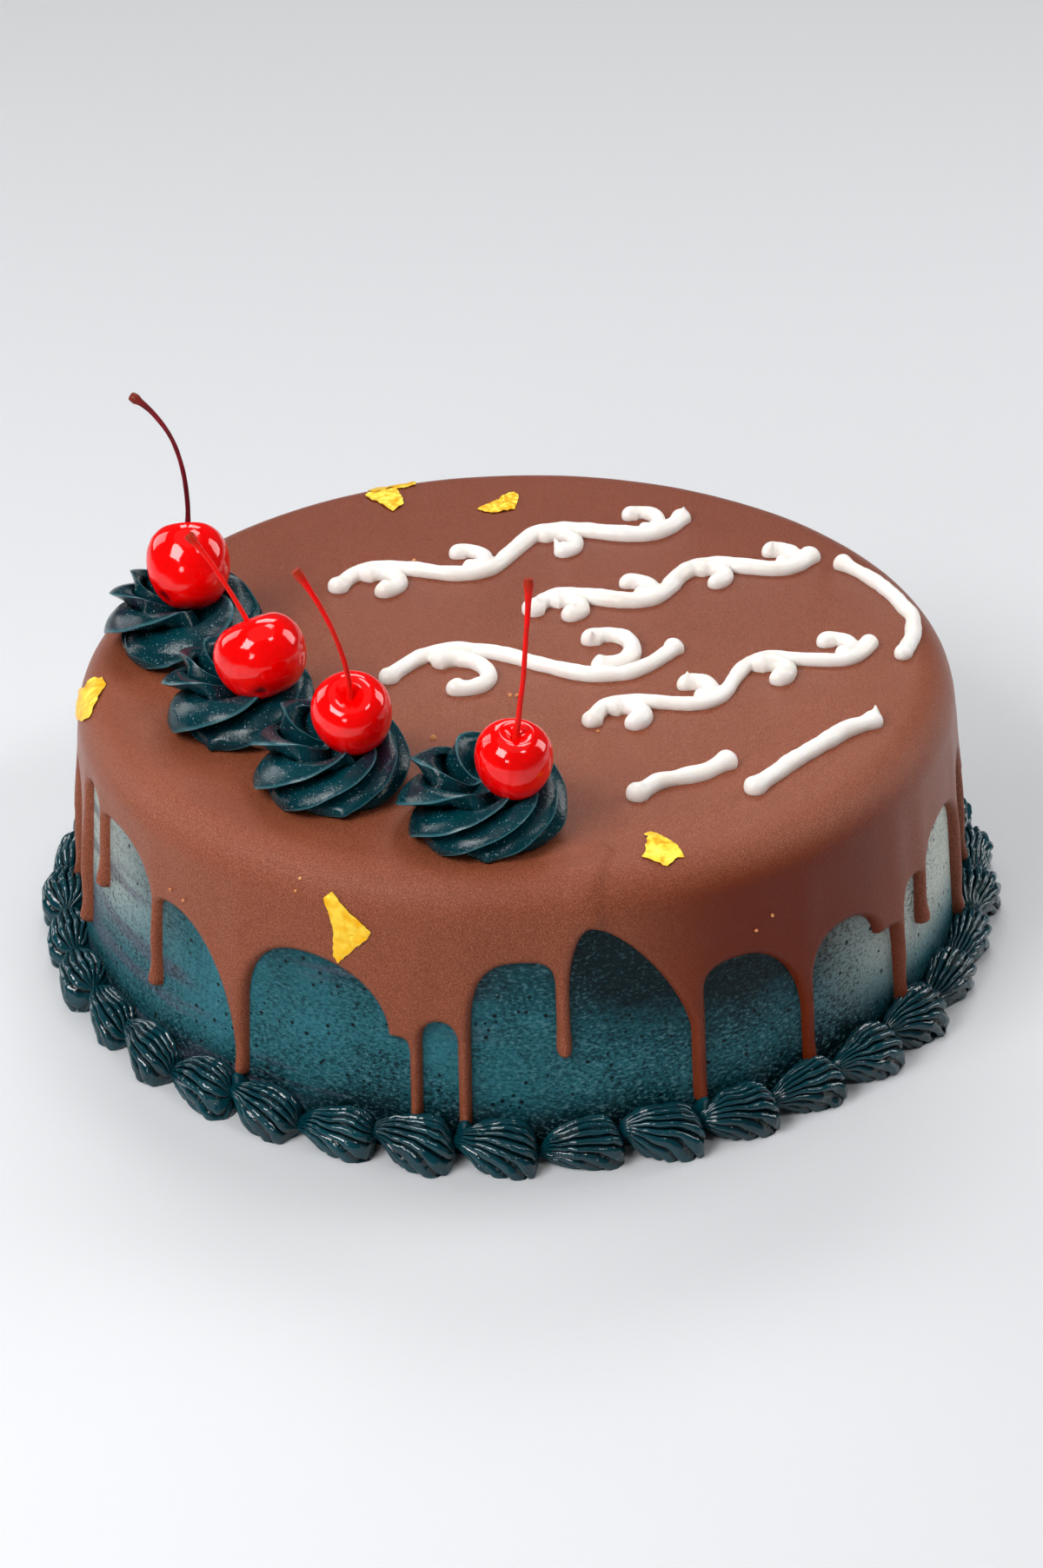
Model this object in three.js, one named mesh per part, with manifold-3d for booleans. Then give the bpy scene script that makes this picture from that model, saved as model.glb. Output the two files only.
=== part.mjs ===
import * as THREE from 'three';
import Module from 'manifold-3d';

const wasm = await Module();
wasm.setup();

// A round drip cake: a frosted body, a poured chocolate glaze whose drips run down the wall, four
// piped rosettes with a cherry each, white scroll piping, gold leaf, and a shell border at the foot.
// Millimetres, +Z up. The origin is the centre of the flat base, and the front faces -Y.

// Driving dimensions
const BODY_HEIGHT = 79.6;
const BASE_RADIUS = 132;
const TOP_RADIUS = 124.5;
const SHOULDER_RADIUS = 10;
const BODY_SIDES = 72;
const GAP = 0.3;

const GLAZE_THICKNESS = 1.6;
const GLAZE_RIM = 2.2;
const STEM_THICKNESS = 2.4;
const HIDDEN_DRIPS = 14;

const PIPE_WIDTH = 5.4;
const PIPE_HEIGHT = 3.3;
const PIPE_SINK = 0.8;
const PIPE_BLOB = 1.4;
const TENDRIL_POINTS = 7;
const TENDRIL_TURN = [60, 330];
const TENDRIL_REACH = 0.38;
const TENDRIL_CLOSING = 0.0039;
const TENDRIL_SINK = 0.35;
const LEAF_HEIGHT = 0.8;
const LEAF_SINK = 0.6;

const ROSETTE_HEIGHT = 18;
const ROSETTE_RIDGES = 8;
const ROSETTE_TWIST = 150;
const ROSETTE_GROOVE = 0.13;

const CHERRY_SIDES = 12;
const CHERRY_CLEARANCE = 0.4;
const CHERRY_STEM_RADIUS = 0.85;
const CHERRY_STEM_SIDES = 5;

const SHELL_COUNT = 38;
const SHELL_FIRST = 6.5;
const SHELL_HEIGHT = 15;
const SHELL_DEPTH = 11.2;
const SHELL_UNEVEN = 0.06;
const LOW_TIP = 16.5;

const GLAZE_TOP = BODY_HEIGHT + GAP + GLAZE_THICKNESS;

// Materials
const finishes = {
  tealFrosting: new THREE.MeshStandardMaterial({ color: 0x1f4a50, roughness: 0.5, metalness: 0 }),
  darkFrosting: new THREE.MeshStandardMaterial({ color: 0x0e2c38, roughness: 0.42, metalness: 0 }),
  chocolate: new THREE.MeshStandardMaterial({ color: 0x7a4a38, roughness: 0.55, metalness: 0 }),
  cherry: new THREE.MeshStandardMaterial({ color: 0xd00d0d, roughness: 0.12, metalness: 0 }),
  cherryStem: new THREE.MeshStandardMaterial({ color: 0xa51418, roughness: 0.4, metalness: 0 }),
};

const cake = new THREE.Group();

function addNode(name, geometry, finish) {
  const mesh = new THREE.Mesh(geometry, finish);
  mesh.name = name;
  cake.add(mesh);
}

// Number helpers
const radians = (degrees) => degrees * Math.PI / 180;
const indices = (count) => Array.from({ length: count }, (_, index) => index);
const mix = (from, to, share) => from + (to - from) * share;

// A repeatable draw from 0 to 1 for each whole number
function draw(number) {
  const value = Math.sin(number * 12.9898 + 4.1414) * 43758.5453;
  return value - Math.floor(value);
}

// Closed indexed geometry with its faces turned outwards
function closedGeometry(points, faces) {
  const volume = faces.reduce((sum, [a, b, c]) => {
    const across = new THREE.Vector3().crossVectors(points[b], points[c]);
    return sum + points[a].dot(across);
  }, 0);
  const outward = volume > 0 ? faces : faces.map(([a, b, c]) => [a, c, b]);
  const geometry = new THREE.BufferGeometry().setFromPoints(points);
  geometry.setIndex(outward.flat());
  return geometry;
}

// Solid through rings that all have the same number of points, with a fan over each end
function loft(rings) {
  const count = rings[0].length;
  const points = rings.flat();
  const faces = [];
  for (const row of indices(rings.length - 1)) {
    for (const column of indices(count)) {
      const a = row * count + column;
      const b = row * count + (column + 1) % count;
      faces.push([a, b, a + count], [b, b + count, a + count]);
    }
  }
  const last = points.length - count;
  const middles = [rings[0], rings.at(-1)].map((ring) => {
    const sum = ring.reduce((total, point) => total.add(point), new THREE.Vector3());
    return points.push(sum.divideScalar(count)) - 1;
  });
  for (const column of indices(count)) {
    const next = (column + 1) % count;
    faces.push([next, column, middles[0]], [last + column, last + next, middles[1]]);
  }
  return closedGeometry(points, faces);
}

function toSolid(geometry) {
  const mesh = new wasm.Mesh({
    numProp: 3,
    vertProperties: new Float32Array(geometry.attributes.position.array),
    triVerts: new Uint32Array(geometry.index.array),
  });
  return new wasm.Manifold(mesh);
}

// The largest body of a solid, so that a loose scrap is dropped and a sealed hollow is filled
function toGeometry(solid) {
  const bodies = solid.decompose().sort((a, b) => b.volume() - a.volume());
  const mesh = bodies[0].getMesh();
  const geometry = new THREE.BufferGeometry();
  geometry.setAttribute('position', new THREE.BufferAttribute(mesh.vertProperties, 3));
  geometry.setIndex(new THREE.BufferAttribute(mesh.triVerts, 1));
  return geometry;
}

// The frosted body leans in a little towards the top and has a rounded shoulder.
const LEAN = Math.atan2(BASE_RADIUS - TOP_RADIUS, BODY_HEIGHT);
const SHOULDER_LENGTH = SHOULDER_RADIUS * (Math.PI / 2 - LEAN);
const SHOULDER_CENTRE = BODY_HEIGHT - SHOULDER_RADIUS;
const wallRadius = (z) => mix(BASE_RADIUS, TOP_RADIUS, z / BODY_HEIGHT);
const FLAT_RADIUS = wallRadius(SHOULDER_CENTRE) - SHOULDER_RADIUS / Math.cos(LEAN);

// A point on the body's surface, moved out by lift: angle is the way round from the front in degrees,
// and down is the distance along the surface from the edge of the flat top (negative is on the flat).
function onBody(angle, down, lift) {
  const turn = radians(angle);
  const arc = THREE.MathUtils.clamp(down, 0, SHOULDER_LENGTH) / SHOULDER_RADIUS;
  const below = Math.max(down - SHOULDER_LENGTH, 0);
  const reach = (SHOULDER_RADIUS + lift) * Math.sin(arc);
  const radius = FLAT_RADIUS + Math.min(down, 0) + reach + below * Math.sin(LEAN);
  const z = SHOULDER_CENTRE + (SHOULDER_RADIUS + lift) * Math.cos(arc) - below * Math.cos(LEAN);
  return new THREE.Vector3(radius * Math.sin(turn), -radius * Math.cos(turn), z);
}

// Distance down the surface of a height on the wall
const SHOULDER_FOOT = SHOULDER_CENTRE + SHOULDER_RADIUS * Math.sin(LEAN);
const downAt = (z) => SHOULDER_LENGTH + (SHOULDER_FOOT - z) / Math.cos(LEAN);
const anglePerMm = (z) => 180 / Math.PI / wallRadius(z);

const sideAngles = indices(BODY_SIDES).map((side) => -75 + side * 360 / BODY_SIDES);
const bodyRing = (down, lift) => sideAngles.map((angle) => onBody(angle, down, lift));

addNode('cake_body', loft([
  bodyRing(downAt(0), 0),
  bodyRing(SHOULDER_LENGTH, 0),
  bodyRing(SHOULDER_LENGTH / 2, 0),
  bodyRing(0, 0),
]), finishes.tealFrosting);

// Drips of the glaze, from the left end of the front round to the right. Each has its angle, width,
// tip height and how much its end swells; then the arch to the next drip: the height where it leaves
// this one, its peak's angle and height, the height where it meets the next, and how square each half is.
const frontDrips = [
  { at: -73.3, width: 4.2, tip: 17, swell: 1, leave: 61, peakAt: -70.6, peak: 66.4, meet: 62.4 },
  { at: -65.9, width: 4.4, tip: 38.4, swell: 1.15, leave: 62.6, peakAt: -60.4, peak: 63.8, meet: 49.7 },
  { at: -51.4, width: 3.4, tip: 23.8, swell: 1.35, leave: 49.7, peakAt: -48.3, peak: 53, meet: 16.4 },
  {
    at: -36.1, width: 3.9, tip: 10.4, swell: 1, leave: 33.5, peakAt: -27.1, peak: 55.2, meet: 31.4,
    shelf: { angle: -16.2, z: 35.2 },
  },
  { at: -12.9, width: 3.4, tip: 9.8, swell: 1, leave: 34.2, peakAt: -9.9, peak: 40.7, meet: 35 },
  {
    at: -7.1, width: 3.6, tip: 8.5, swell: 1, leave: 35.2, peakAt: 0.4, peak: 58.7, meet: 49.4,
    square: [3, 3],
  },
  {
    at: 4.7, width: 3.7, tip: 30, swell: 1.15, leave: 49.1, peakAt: 8.2, peak: 67.7, meet: 32.4,
    square: [1.9, 1.45],
  },
  {
    at: 21.1, width: 3.8, tip: 9.4, swell: 1, leave: 42.2, peakAt: 27, peak: 50.5, meet: 26.2,
    square: [3, 2],
  },
  {
    at: 36.4, width: 3.7, tip: 9.3, swell: 1, leave: 34.7, peakAt: 43, peak: 47.5, meet: 30.3,
    shelf: { angle: 48.8, z: 36.9 },
  },
  {
    at: 53.7, width: 4.2, tip: 8.5, swell: 1, leave: 33.9, peakAt: 57.6, peak: 45.4, meet: 43,
    square: [3, 3],
  },
  { at: 60.1, width: 4.1, tip: 27, swell: 1.25, leave: 42.1, peakAt: 68.4, peak: 52.9, meet: 43 },
  { at: 75, width: 4.2, tip: 9, swell: 1, leave: 44, peakAt: 81.5, peak: 55, meet: 42 },
];

// The back goes on in the same manner, with drawn angles and heights.
const backStart = frontDrips.at(-1).at;
const backPitch = (360 + frontDrips[0].at - backStart) / (HIDDEN_DRIPS + 1);
const backDrips = indices(HIDDEN_DRIPS).map((number) => {
  const at = backStart + backPitch * (number + 1 + 0.35 * (draw(number) - 0.5));
  const long = draw(number + 20) < 0.6;
  return {
    at,
    width: mix(3.5, 4.2, draw(number + 40)),
    tip: long ? mix(8.5, 12, draw(number + 60)) : mix(22, 36, draw(number + 60)),
    swell: long ? 1 : 1.25,
    leave: mix(40, 46, draw(number + 80)),
    peakAt: at + backPitch * mix(0.35, 0.6, draw(number + 100)),
    peak: mix(49, 64, draw(number + 120)),
    meet: mix(36, 44, draw(number + 140)),
  };
});
const drips = [...frontDrips, ...backDrips];

// The lower outline of the glaze between one drip's right side and the next drip's left side
function archOutline(drip, next) {
  const { leave, peakAt, peak, meet, shelf, square = [2.4, 2] } = drip;
  const from = drip.at + drip.width / 2 * anglePerMm(leave);
  const to = next.at - next.width / 2 * anglePerMm(meet);
  const end = shelf ?? { angle: to, z: meet };
  const halves = [[from, leave, square[0], [30, 60]], [end.angle, end.z, square[1], [60, 30]]];
  const outline = halves.map(([side, z, power, steps]) => steps.map((step) => ({
    angle: mix(peakAt, side, Math.cos(radians(step)) ** (2 / power)),
    z: mix(z, peak, Math.sin(radians(step)) ** (2 / power)),
  })));
  const shelfEnd = shelf ? [shelf, { angle: to - 0.4, z: shelf.z - 0.4 }] : [];
  return [...outline[0], { angle: peakAt, z: peak }, ...outline[1], ...shelfEnd];
}

// The glaze: a top sheet over the shoulder, thin at its outline, with a rounded stem for each drip
function glazeGeometry() {
  const points = [];
  const faces = [];
  const place = (angle, down, lift) => ({ angle, index: points.push(onBody(angle, down, lift)) - 1 });
  const ring = (down, lift) => sideAngles.map((angle) => place(angle, down, lift));
  const quad = (a, b, c, d) => faces.push([a.index, b.index, c.index], [a.index, c.index, d.index]);

  // Triangles between two closed rows of points, each sorted by its angle
  function zip(upper, lower) {
    let i = 0;
    let j = 0;
    const angleOf = (row, k) => row[k % row.length].angle + 360 * Math.floor(k / row.length);
    while (i < upper.length || j < lower.length) {
      const top = upper[i % upper.length].index;
      const low = lower[j % lower.length].index;
      const topFirst = angleOf(upper, i + 1) < angleOf(lower, j + 1);
      if (j === lower.length || (i < upper.length && topFirst)) {
        faces.push([top, low, upper[(i + 1) % upper.length].index]);
        i += 1;
      } else {
        faces.push([top, low, lower[(j + 1) % lower.length].index]);
        j += 1;
      }
    }
  }
  const flip = (build) => {
    const start = faces.length;
    build();
    for (const face of faces.slice(start)) face.reverse();
  };

  const outer = GAP + GLAZE_THICKNESS;
  const stemSides = [-1, -0.4, 0.4, 1];
  const shoulderRings = [0, 1, 2, 3].map((step) => ring(SHOULDER_LENGTH * step / 3, outer));
  const innerRings = [0, 1, 2].map((step) => ring(SHOULDER_LENGTH * step / 2, GAP));
  const upperRow = [];
  const rimRow = [];
  const innerRow = [];

  drips.forEach((drip, number) => {
    const next = drips[(number + 1) % drips.length];
    const turn = number + 1 === drips.length ? 360 : 0;
    const before = drips.at(number - 1);
    const stemTop = stemSides.map((side) => {
      const z = mix(before.meet, drip.leave, (side + 1) / 2);
      const angle = drip.at + side * drip.width / 2 * anglePerMm(z);
      const middle = Math.abs(side) < 1;
      upperRow.push(place(angle, downAt(z) - GLAZE_RIM, outer));
      const rim = place(angle, downAt(z), middle ? GAP + STEM_THICKNESS : GAP);
      rimRow.push(rim);
      return rim;
    });
    innerRow.push(stemTop[0], stemTop[3]);

    // Rows down the stem: height above the tip and breadth, in half widths, and thickness share
    const stemRows = [[2.8, 1, 1], [1.1, drip.swell, 1], [0.35, 0.72 * drip.swell, 0.75]];
    let row = stemTop;
    for (const [rise, breadth, thick] of stemRows) {
      const z = drip.tip + rise * drip.width / 2;
      const lower = stemSides.map((side) => {
        const angle = drip.at + side * breadth * drip.width / 2 * anglePerMm(z);
        return place(angle, downAt(z), GAP + (Math.abs(side) < 1 ? STEM_THICKNESS * thick : 0));
      });
      for (const column of [0, 1, 2]) quad(row[column], lower[column], lower[column + 1], row[column + 1]);
      quad(row[3], lower[3], lower[0], row[0]);
      row = lower;
    }
    const tip = place(drip.at, downAt(drip.tip), GAP);
    for (const column of [0, 1, 2]) faces.push([row[column].index, tip.index, row[column + 1].index]);
    faces.push([row[3].index, tip.index, row[0].index]);

    for (const { angle, z } of archOutline(drip, { ...next, at: next.at + turn })) {
      upperRow.push(place(angle, downAt(z) - GLAZE_RIM, outer));
      const rim = place(angle, downAt(z), GAP);
      rimRow.push(rim);
      innerRow.push(rim);
    }
  });

  const topMiddle = { index: points.push(new THREE.Vector3(0, 0, GLAZE_TOP)) - 1 };
  const underMiddle = { index: points.push(new THREE.Vector3(0, 0, BODY_HEIGHT + GAP)) - 1 };
  for (const side of indices(BODY_SIDES)) {
    const next = (side + 1) % BODY_SIDES;
    faces.push([topMiddle.index, shoulderRings[0][side].index, shoulderRings[0][next].index]);
    faces.push([underMiddle.index, innerRings[0][next].index, innerRings[0][side].index]);
  }
  zip(shoulderRings[0], shoulderRings[1]);
  zip(shoulderRings[1], shoulderRings[2]);
  zip(shoulderRings[2], shoulderRings[3]);
  zip(shoulderRings[3], upperRow);
  zip(upperRow, rimRow);
  flip(() => {
    zip(innerRings[0], innerRings[1]);
    zip(innerRings[1], innerRings[2]);
    zip(innerRings[2], innerRow);
  });
  return closedGeometry(points, faces);
}

// A place on top of the glaze, from its position seen from above; beyond the flat it follows the shoulder.
function onGlaze(x, y, lift) {
  const angle = THREE.MathUtils.radToDeg(Math.atan2(x, -y));
  return onBody(angle, Math.hypot(x, y) - FLAT_RADIUS, GAP + GLAZE_THICKNESS + lift);
}

// One line of piping: a flat-bottomed bead along points seen from above, sunk a little into the glaze,
// that swells to a blob at each end
function pipedLine(route) {
  const middles = route.map(([x, y]) => new THREE.Vector2(x, y));
  const last = middles.length - 1;
  const half = PIPE_WIDTH / 2;
  const section = [
    [-0.85, -PIPE_SINK], [0.85, -PIPE_SINK],
    [1, 0.5 * PIPE_HEIGHT], [0, PIPE_HEIGHT], [-1, 0.5 * PIPE_HEIGHT],
  ];
  const ring = (middle, along, breadth) => section.map(([side, lift]) => {
    const out = side * half * breadth;
    return onGlaze(middle.x - along.y * out, middle.y + along.x * out, lift);
  });
  const directions = middles.map((middle, index) => {
    const next = middles[Math.min(index + 1, last)];
    return next.clone().sub(middles[Math.max(index - 1, 0)]).normalize();
  });
  const rings = middles.map((middle, index) => {
    const breadth = index === 0 || index === last ? PIPE_BLOB : 1;
    return ring(middle, directions[index], breadth);
  });
  const firstEnd = middles[0].clone().addScaledVector(directions[0], -half);
  const lastEnd = middles[last].clone().addScaledVector(directions[last], half);
  return loft([ring(firstEnd, directions[0], 0.8), ...rings, ring(lastEnd, directions[last], 0.8)]);
}

// A vine of piping from one place to another: a waving line with a curled tendril under each wave
function vine({ from, to, waves, height }) {
  const start = new THREE.Vector2(...from);
  const along = new THREE.Vector2(...to).sub(start);
  const direction = along.clone().normalize();
  const side = new THREE.Vector2(-direction.y, direction.x);
  const halfWave = along.length() / waves / 2;
  const at = (distance, offset) => {
    const place = start.clone().addScaledVector(direction, distance).addScaledVector(side, offset);
    return place.toArray();
  };
  const line = indices(waves * 8 + 1).map((step) => (
    at(step * halfWave / 4, height * Math.sin(step * Math.PI / 4))
  ));
  const tendrils = indices(waves * 2).map((number) => {
    const up = number % 2 === 0 ? 1 : -1;
    return indices(TENDRIL_POINTS).map((point) => {
      const turned = mix(...TENDRIL_TURN, point / (TENDRIL_POINTS - 1));
      const reach = TENDRIL_REACH * halfWave * Math.exp(-TENDRIL_CLOSING * turned);
      const angle = radians(180 - turned);
      const offset = up * (reach * Math.sin(angle) - TENDRIL_SINK * height);
      return at((number + 0.5) * halfWave + reach * Math.cos(angle), offset);
    });
  });
  return [line, ...tendrils];
}

// The white piping fills the right two thirds of the top in rows that climb to the right, with loose
// strokes below them and a long one round the right rim.
const pipedLines = [
  ...vine({ from: [-54, 40], to: [54, 86], waves: 2, height: 8 }),
  ...vine({ from: [4, 22], to: [92, 58], waves: 2, height: 6.5 }),
  ...vine({ from: [-38, -16], to: [48, 2], waves: 1, height: 13 }),
  ...vine({ from: [20, -44], to: [104, 2], waves: 2, height: 6.5 }),
  [[62, -82], [76, -66], [90, -52], [102, -44]],
  [[30, -84], [38, -76], [50, -72], [60, -64]],
  [[98, 52], [110, 36], [116.5, 16], [116, 2], [111, -10]],
];

// Torn gold leaf: an uneven flake round a place on the glaze, as angle and distance down, with its
// length across, length down and turn
const leafFlakes = [
  { angle: -21.5, down: 20, across: 12, length: 20, turn: -8 },
  { angle: 18.8, down: -1, across: 12, length: 14, turn: 20 },
  { angle: -84, down: 9, across: 10, length: 22, turn: 60 },
  { angle: -159.3, down: -5, across: 12, length: 15, turn: 0 },
  { angle: -178, down: -17, across: 9, length: 17, turn: 58 },
  { angle: -160.5, down: 9, across: 7, length: 17, turn: 80 },
];

function leafFlake(flake, number) {
  const rows = 5;
  const perMm = 180 / Math.PI / TOP_RADIUS;
  const tilt = radians(flake.turn);
  return loft(indices(rows).map((row) => {
    const b = flake.length * (row / (rows - 1) - 0.5);
    const full = Math.sin(radians(mix(30, 150, row / (rows - 1))));
    const sides = [-1, 1].map((side, index) => {
      const torn = mix(0.55, 1, draw(row + 10 * index + 20 * number + 200));
      return side * torn * full * flake.across / 2;
    });
    const section = [
      [sides[0], -LEAF_SINK], [sides[1], -LEAF_SINK],
      [sides[1], LEAF_HEIGHT], [sides[0], LEAF_HEIGHT],
    ];
    return section.map(([a, lift]) => {
      const angle = flake.angle + (a * Math.cos(tilt) - b * Math.sin(tilt)) * perMm;
      const down = flake.down + a * Math.sin(tilt) + b * Math.cos(tilt);
      return onBody(angle, down, GAP + GLAZE_THICKNESS + lift);
    });
  }));
}

const toppings = [...pipedLines.map(pipedLine), ...leafFlakes.map(leafFlake)];
const glaze = toppings.reduce((solid, topping) => solid.add(toSolid(topping)), toSolid(glazeGeometry()));
addNode('chocolate_glaze', toGeometry(glaze), finishes.chocolate);

// Rosettes: each stands at a place on the top with its radius and the turn of its first ridge. The cherry
// pressed into it has a place, half its breadth and length, and the lean of its axis; its stem runs
// from the dimple towards a knee and bends to a tip, both given from the dimple.
const rosettes = [
  {
    at: [-96.6, 13.3], radius: 23.3, turn: 10,
    cherry: { centre: [-93.9, 14.8, 105], breadth: 11.9, length: 13.2, axis: [-0.08, 0.6, 0.8] },
    stem: { knee: [4.5, 6.6, 30], tip: [-14.4, 16.9, 37.9] },
  },
  {
    at: [-78.1, -33.7], radius: 22, turn: 25,
    cherry: { centre: [-70.1, -39, 104], breadth: 12.8, length: 11.8, axis: [-0.33, 0.4, 0.86] },
    stem: { knee: [-4.8, 3.2, 13.1], tip: [-16.6, 9, 26.2] },
  },
  {
    at: [-51.2, -69.4], radius: 22.3, turn: 0,
    cherry: { centre: [-44.1, -72.3, 104], breadth: 11.1, length: 11.3, axis: [-0.02, -0.5, 0.86] },
    stem: { knee: [1.1, -6, 21.8], tip: [-12.1, -2.9, 41.2] },
  },
  {
    at: [-9.5, -92.7], radius: 23, turn: 15,
    cherry: { centre: [-0.9, -98.8, 104], breadth: 10.5, length: 10.5, axis: [0.08, -0.19, 0.98] },
    stem: { knee: [3.8, -2.3, 25.6], tip: [4.5, 3.2, 46.1] },
  },
];

// Swirl of a star-shaped rope: radius and height shares from the foot, over the crest, into the hollow
const rosetteProfile = [
  [0.9, 0], [1, 0.2], [1, 0.48], [0.93, 0.74], [0.78, 0.94], [0.58, 1], [0.38, 0.88], [0.18, 0.76],
];

// Seen from above the crest stands highest at the back on the left, where the rope ends.
const CREST_SIDE = 143;
const CREST_LIFT = 0.13;

function rosetteGeometry({ at, radius, turn }) {
  const grooves = [0, 0.9, 0.8];
  const pointsPerRidge = grooves.length;
  const base = GLAZE_TOP + GAP;
  return loft(rosetteProfile.map(([breadth, height], level) => {
    const twist = ROSETTE_TWIST * level / (rosetteProfile.length - 1);
    return indices(ROSETTE_RIDGES * pointsPerRidge).map((step) => {
      const angle = radians(turn + twist + step * 360 / ROSETTE_RIDGES / pointsPerRidge);
      const reach = radius * breadth * (1 - ROSETTE_GROOVE * grooves[step % pointsPerRidge]);
      const lift = 1 + CREST_LIFT * Math.cos(angle - radians(CREST_SIDE));
      return new THREE.Vector3(
        at[0] + reach * Math.cos(angle),
        at[1] + reach * Math.sin(angle),
        base + ROSETTE_HEIGHT * height * lift,
      );
    });
  }));
}

// Cherry outline as shares of its half breadth and half length, from the stem's dimple to the far end
const cherryProfile = [
  [0.13, 0.63], [0.26, 0.76], [0.5, 0.95], [0.78, 0.84], [0.97, 0.42],
  [0.98, -0.1], [0.8, -0.62], [0.42, -0.93],
];

function axisTurn(axis) {
  return new THREE.Quaternion().setFromUnitVectors(
    new THREE.Vector3(0, 0, 1),
    new THREE.Vector3(...axis).normalize(),
  );
}

function cherryGeometry({ centre, breadth, length, axis }, grow) {
  const turn = axisTurn(axis);
  return loft(cherryProfile.map(([across, along]) => indices(CHERRY_SIDES).map((side) => {
    const angle = side * 2 * Math.PI / CHERRY_SIDES;
    const reach = across * (breadth + grow);
    const height = along * (length + grow);
    const point = new THREE.Vector3(reach * Math.cos(angle), reach * Math.sin(angle), height);
    return point.applyQuaternion(turn).add(new THREE.Vector3(...centre));
  })));
}

// A stem thickens to a knob where it was picked from the twig.
function cherryStemGeometry({ centre, length, axis }, { knee, tip }) {
  const direction = new THREE.Vector3(...axis).normalize();
  const dimple = new THREE.Vector3(...centre).addScaledVector(direction, length * cherryProfile[0][1]);
  const start = dimple.clone().addScaledVector(direction, 2 * GAP);
  const bend = start.clone().add(new THREE.Vector3(...knee));
  const curve = new THREE.QuadraticBezierCurve3(start, bend, dimple.clone().add(new THREE.Vector3(...tip)));
  const thickness = [1, 0.85, 0.8, 0.8, 0.9, 1.1, 1.9];
  return loft(thickness.map((share, level) => {
    const position = level / (thickness.length - 1);
    const middle = curve.getPoint(position);
    const turn = axisTurn(curve.getTangent(position).toArray());
    return indices(CHERRY_STEM_SIDES).map((side) => {
      const angle = side * 2 * Math.PI / CHERRY_STEM_SIDES;
      const reach = share * CHERRY_STEM_RADIUS;
      const point = new THREE.Vector3(reach * Math.cos(angle), reach * Math.sin(angle), 0);
      return point.applyQuaternion(turn).add(middle);
    });
  }));
}

rosettes.forEach((rosette, index) => {
  const number = index + 1;
  const hollow = toSolid(cherryGeometry(rosette.cherry, CHERRY_CLEARANCE));
  const swirl = toSolid(rosetteGeometry(rosette)).subtract(hollow);
  addNode(`rosette_${number}`, toGeometry(swirl), finishes.darkFrosting);
  addNode(`cherry_${number}`, cherryGeometry(rosette.cherry, 0), finishes.cherry);
  addNode(`cherry_stem_${number}`, cherryStemGeometry(rosette.cherry, rosette.stem), finishes.cherryStem);
});

// Shell border: each shell starts fat on its right and is drawn out to a thin tail on its left, up
// against the head of the shell before it. Share of the pitch along it, and how full it is there:
const shellRings = [[-0.5, 0.14], [-0.26, 0.6], [0.04, 0.94], [0.3, 1], [0.5, 0.5]];
// Ridged outline over the top and outside, as an angle in degrees and a share of fullness:
const shellOutline = [[80, 1], [54, 0.92], [30, 1.06], [6, 0.93], [-16, 1.02]];

const shellPitch = 360 / SHELL_COUNT;
const shellMiddle = (number) => SHELL_FIRST + number * shellPitch;

function shellGeometry(number) {
  const size = 1 + SHELL_UNEVEN * (2 * draw(number + 300) - 1);
  const span = shellPitch - GAP * anglePerMm(0);
  return loft(shellRings.map(([along, full]) => {
    const turn = radians(shellMiddle(number) + along * span);
    const height = SHELL_HEIGHT * size * mix(0.34, 1, full);
    const depth = SHELL_DEPTH * size * mix(0.3, 1, full);
    const arc = shellOutline.map(([up, share]) => [
      depth * (0.45 + 0.55 * share * Math.cos(radians(up))),
      height * (0.38 + 0.62 * share * Math.sin(radians(up))),
    ]);
    const foot = [[0.8 * depth, 0], [0, 0], [0, 0.84 * height]];
    return [...arc, ...foot].map(([out, z]) => {
      const radius = wallRadius(z) + GAP + out;
      return new THREE.Vector3(radius * Math.sin(turn), -radius * Math.cos(turn), z);
    });
  }));
}

// Room round the end of a long drip, which the shells were piped against
function dripRoom({ at, width, tip, swell }) {
  const half = (width / 2 * swell + GAP) * anglePerMm(tip);
  const depth = STEM_THICKNESS + 3 * GAP;
  const outline = (z) => [[-1, -1], [1, -1], [1, depth], [-1, depth]]
    .map(([side, lift]) => onBody(at + side * half, downAt(z), lift));
  return toSolid(loft([outline(tip - 2 * GAP), outline(SHELL_HEIGHT * 1.3)]));
}

const lowDrips = drips.filter(({ tip }) => tip < LOW_TIP);
for (const number of indices(SHELL_COUNT)) {
  const nearby = lowDrips.filter(({ at }) => {
    const apart = THREE.MathUtils.euclideanModulo(at - shellMiddle(number) + 180, 360) - 180;
    return Math.abs(apart) < shellPitch;
  });
  const shell = nearby.reduce(
    (solid, drip) => solid.subtract(dripRoom(drip)),
    toSolid(shellGeometry(number)),
  );
  addNode(`shell_${String(number + 1).padStart(2, '0')}`, toGeometry(shell), finishes.darkFrosting);
}

export default cake;
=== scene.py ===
import math

import bpy
import numpy as np
from mathutils import Matrix, Vector, noise
from mathutils.geometry import delaunay_2d_cdt
from mathutils.kdtree import KDTree


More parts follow.
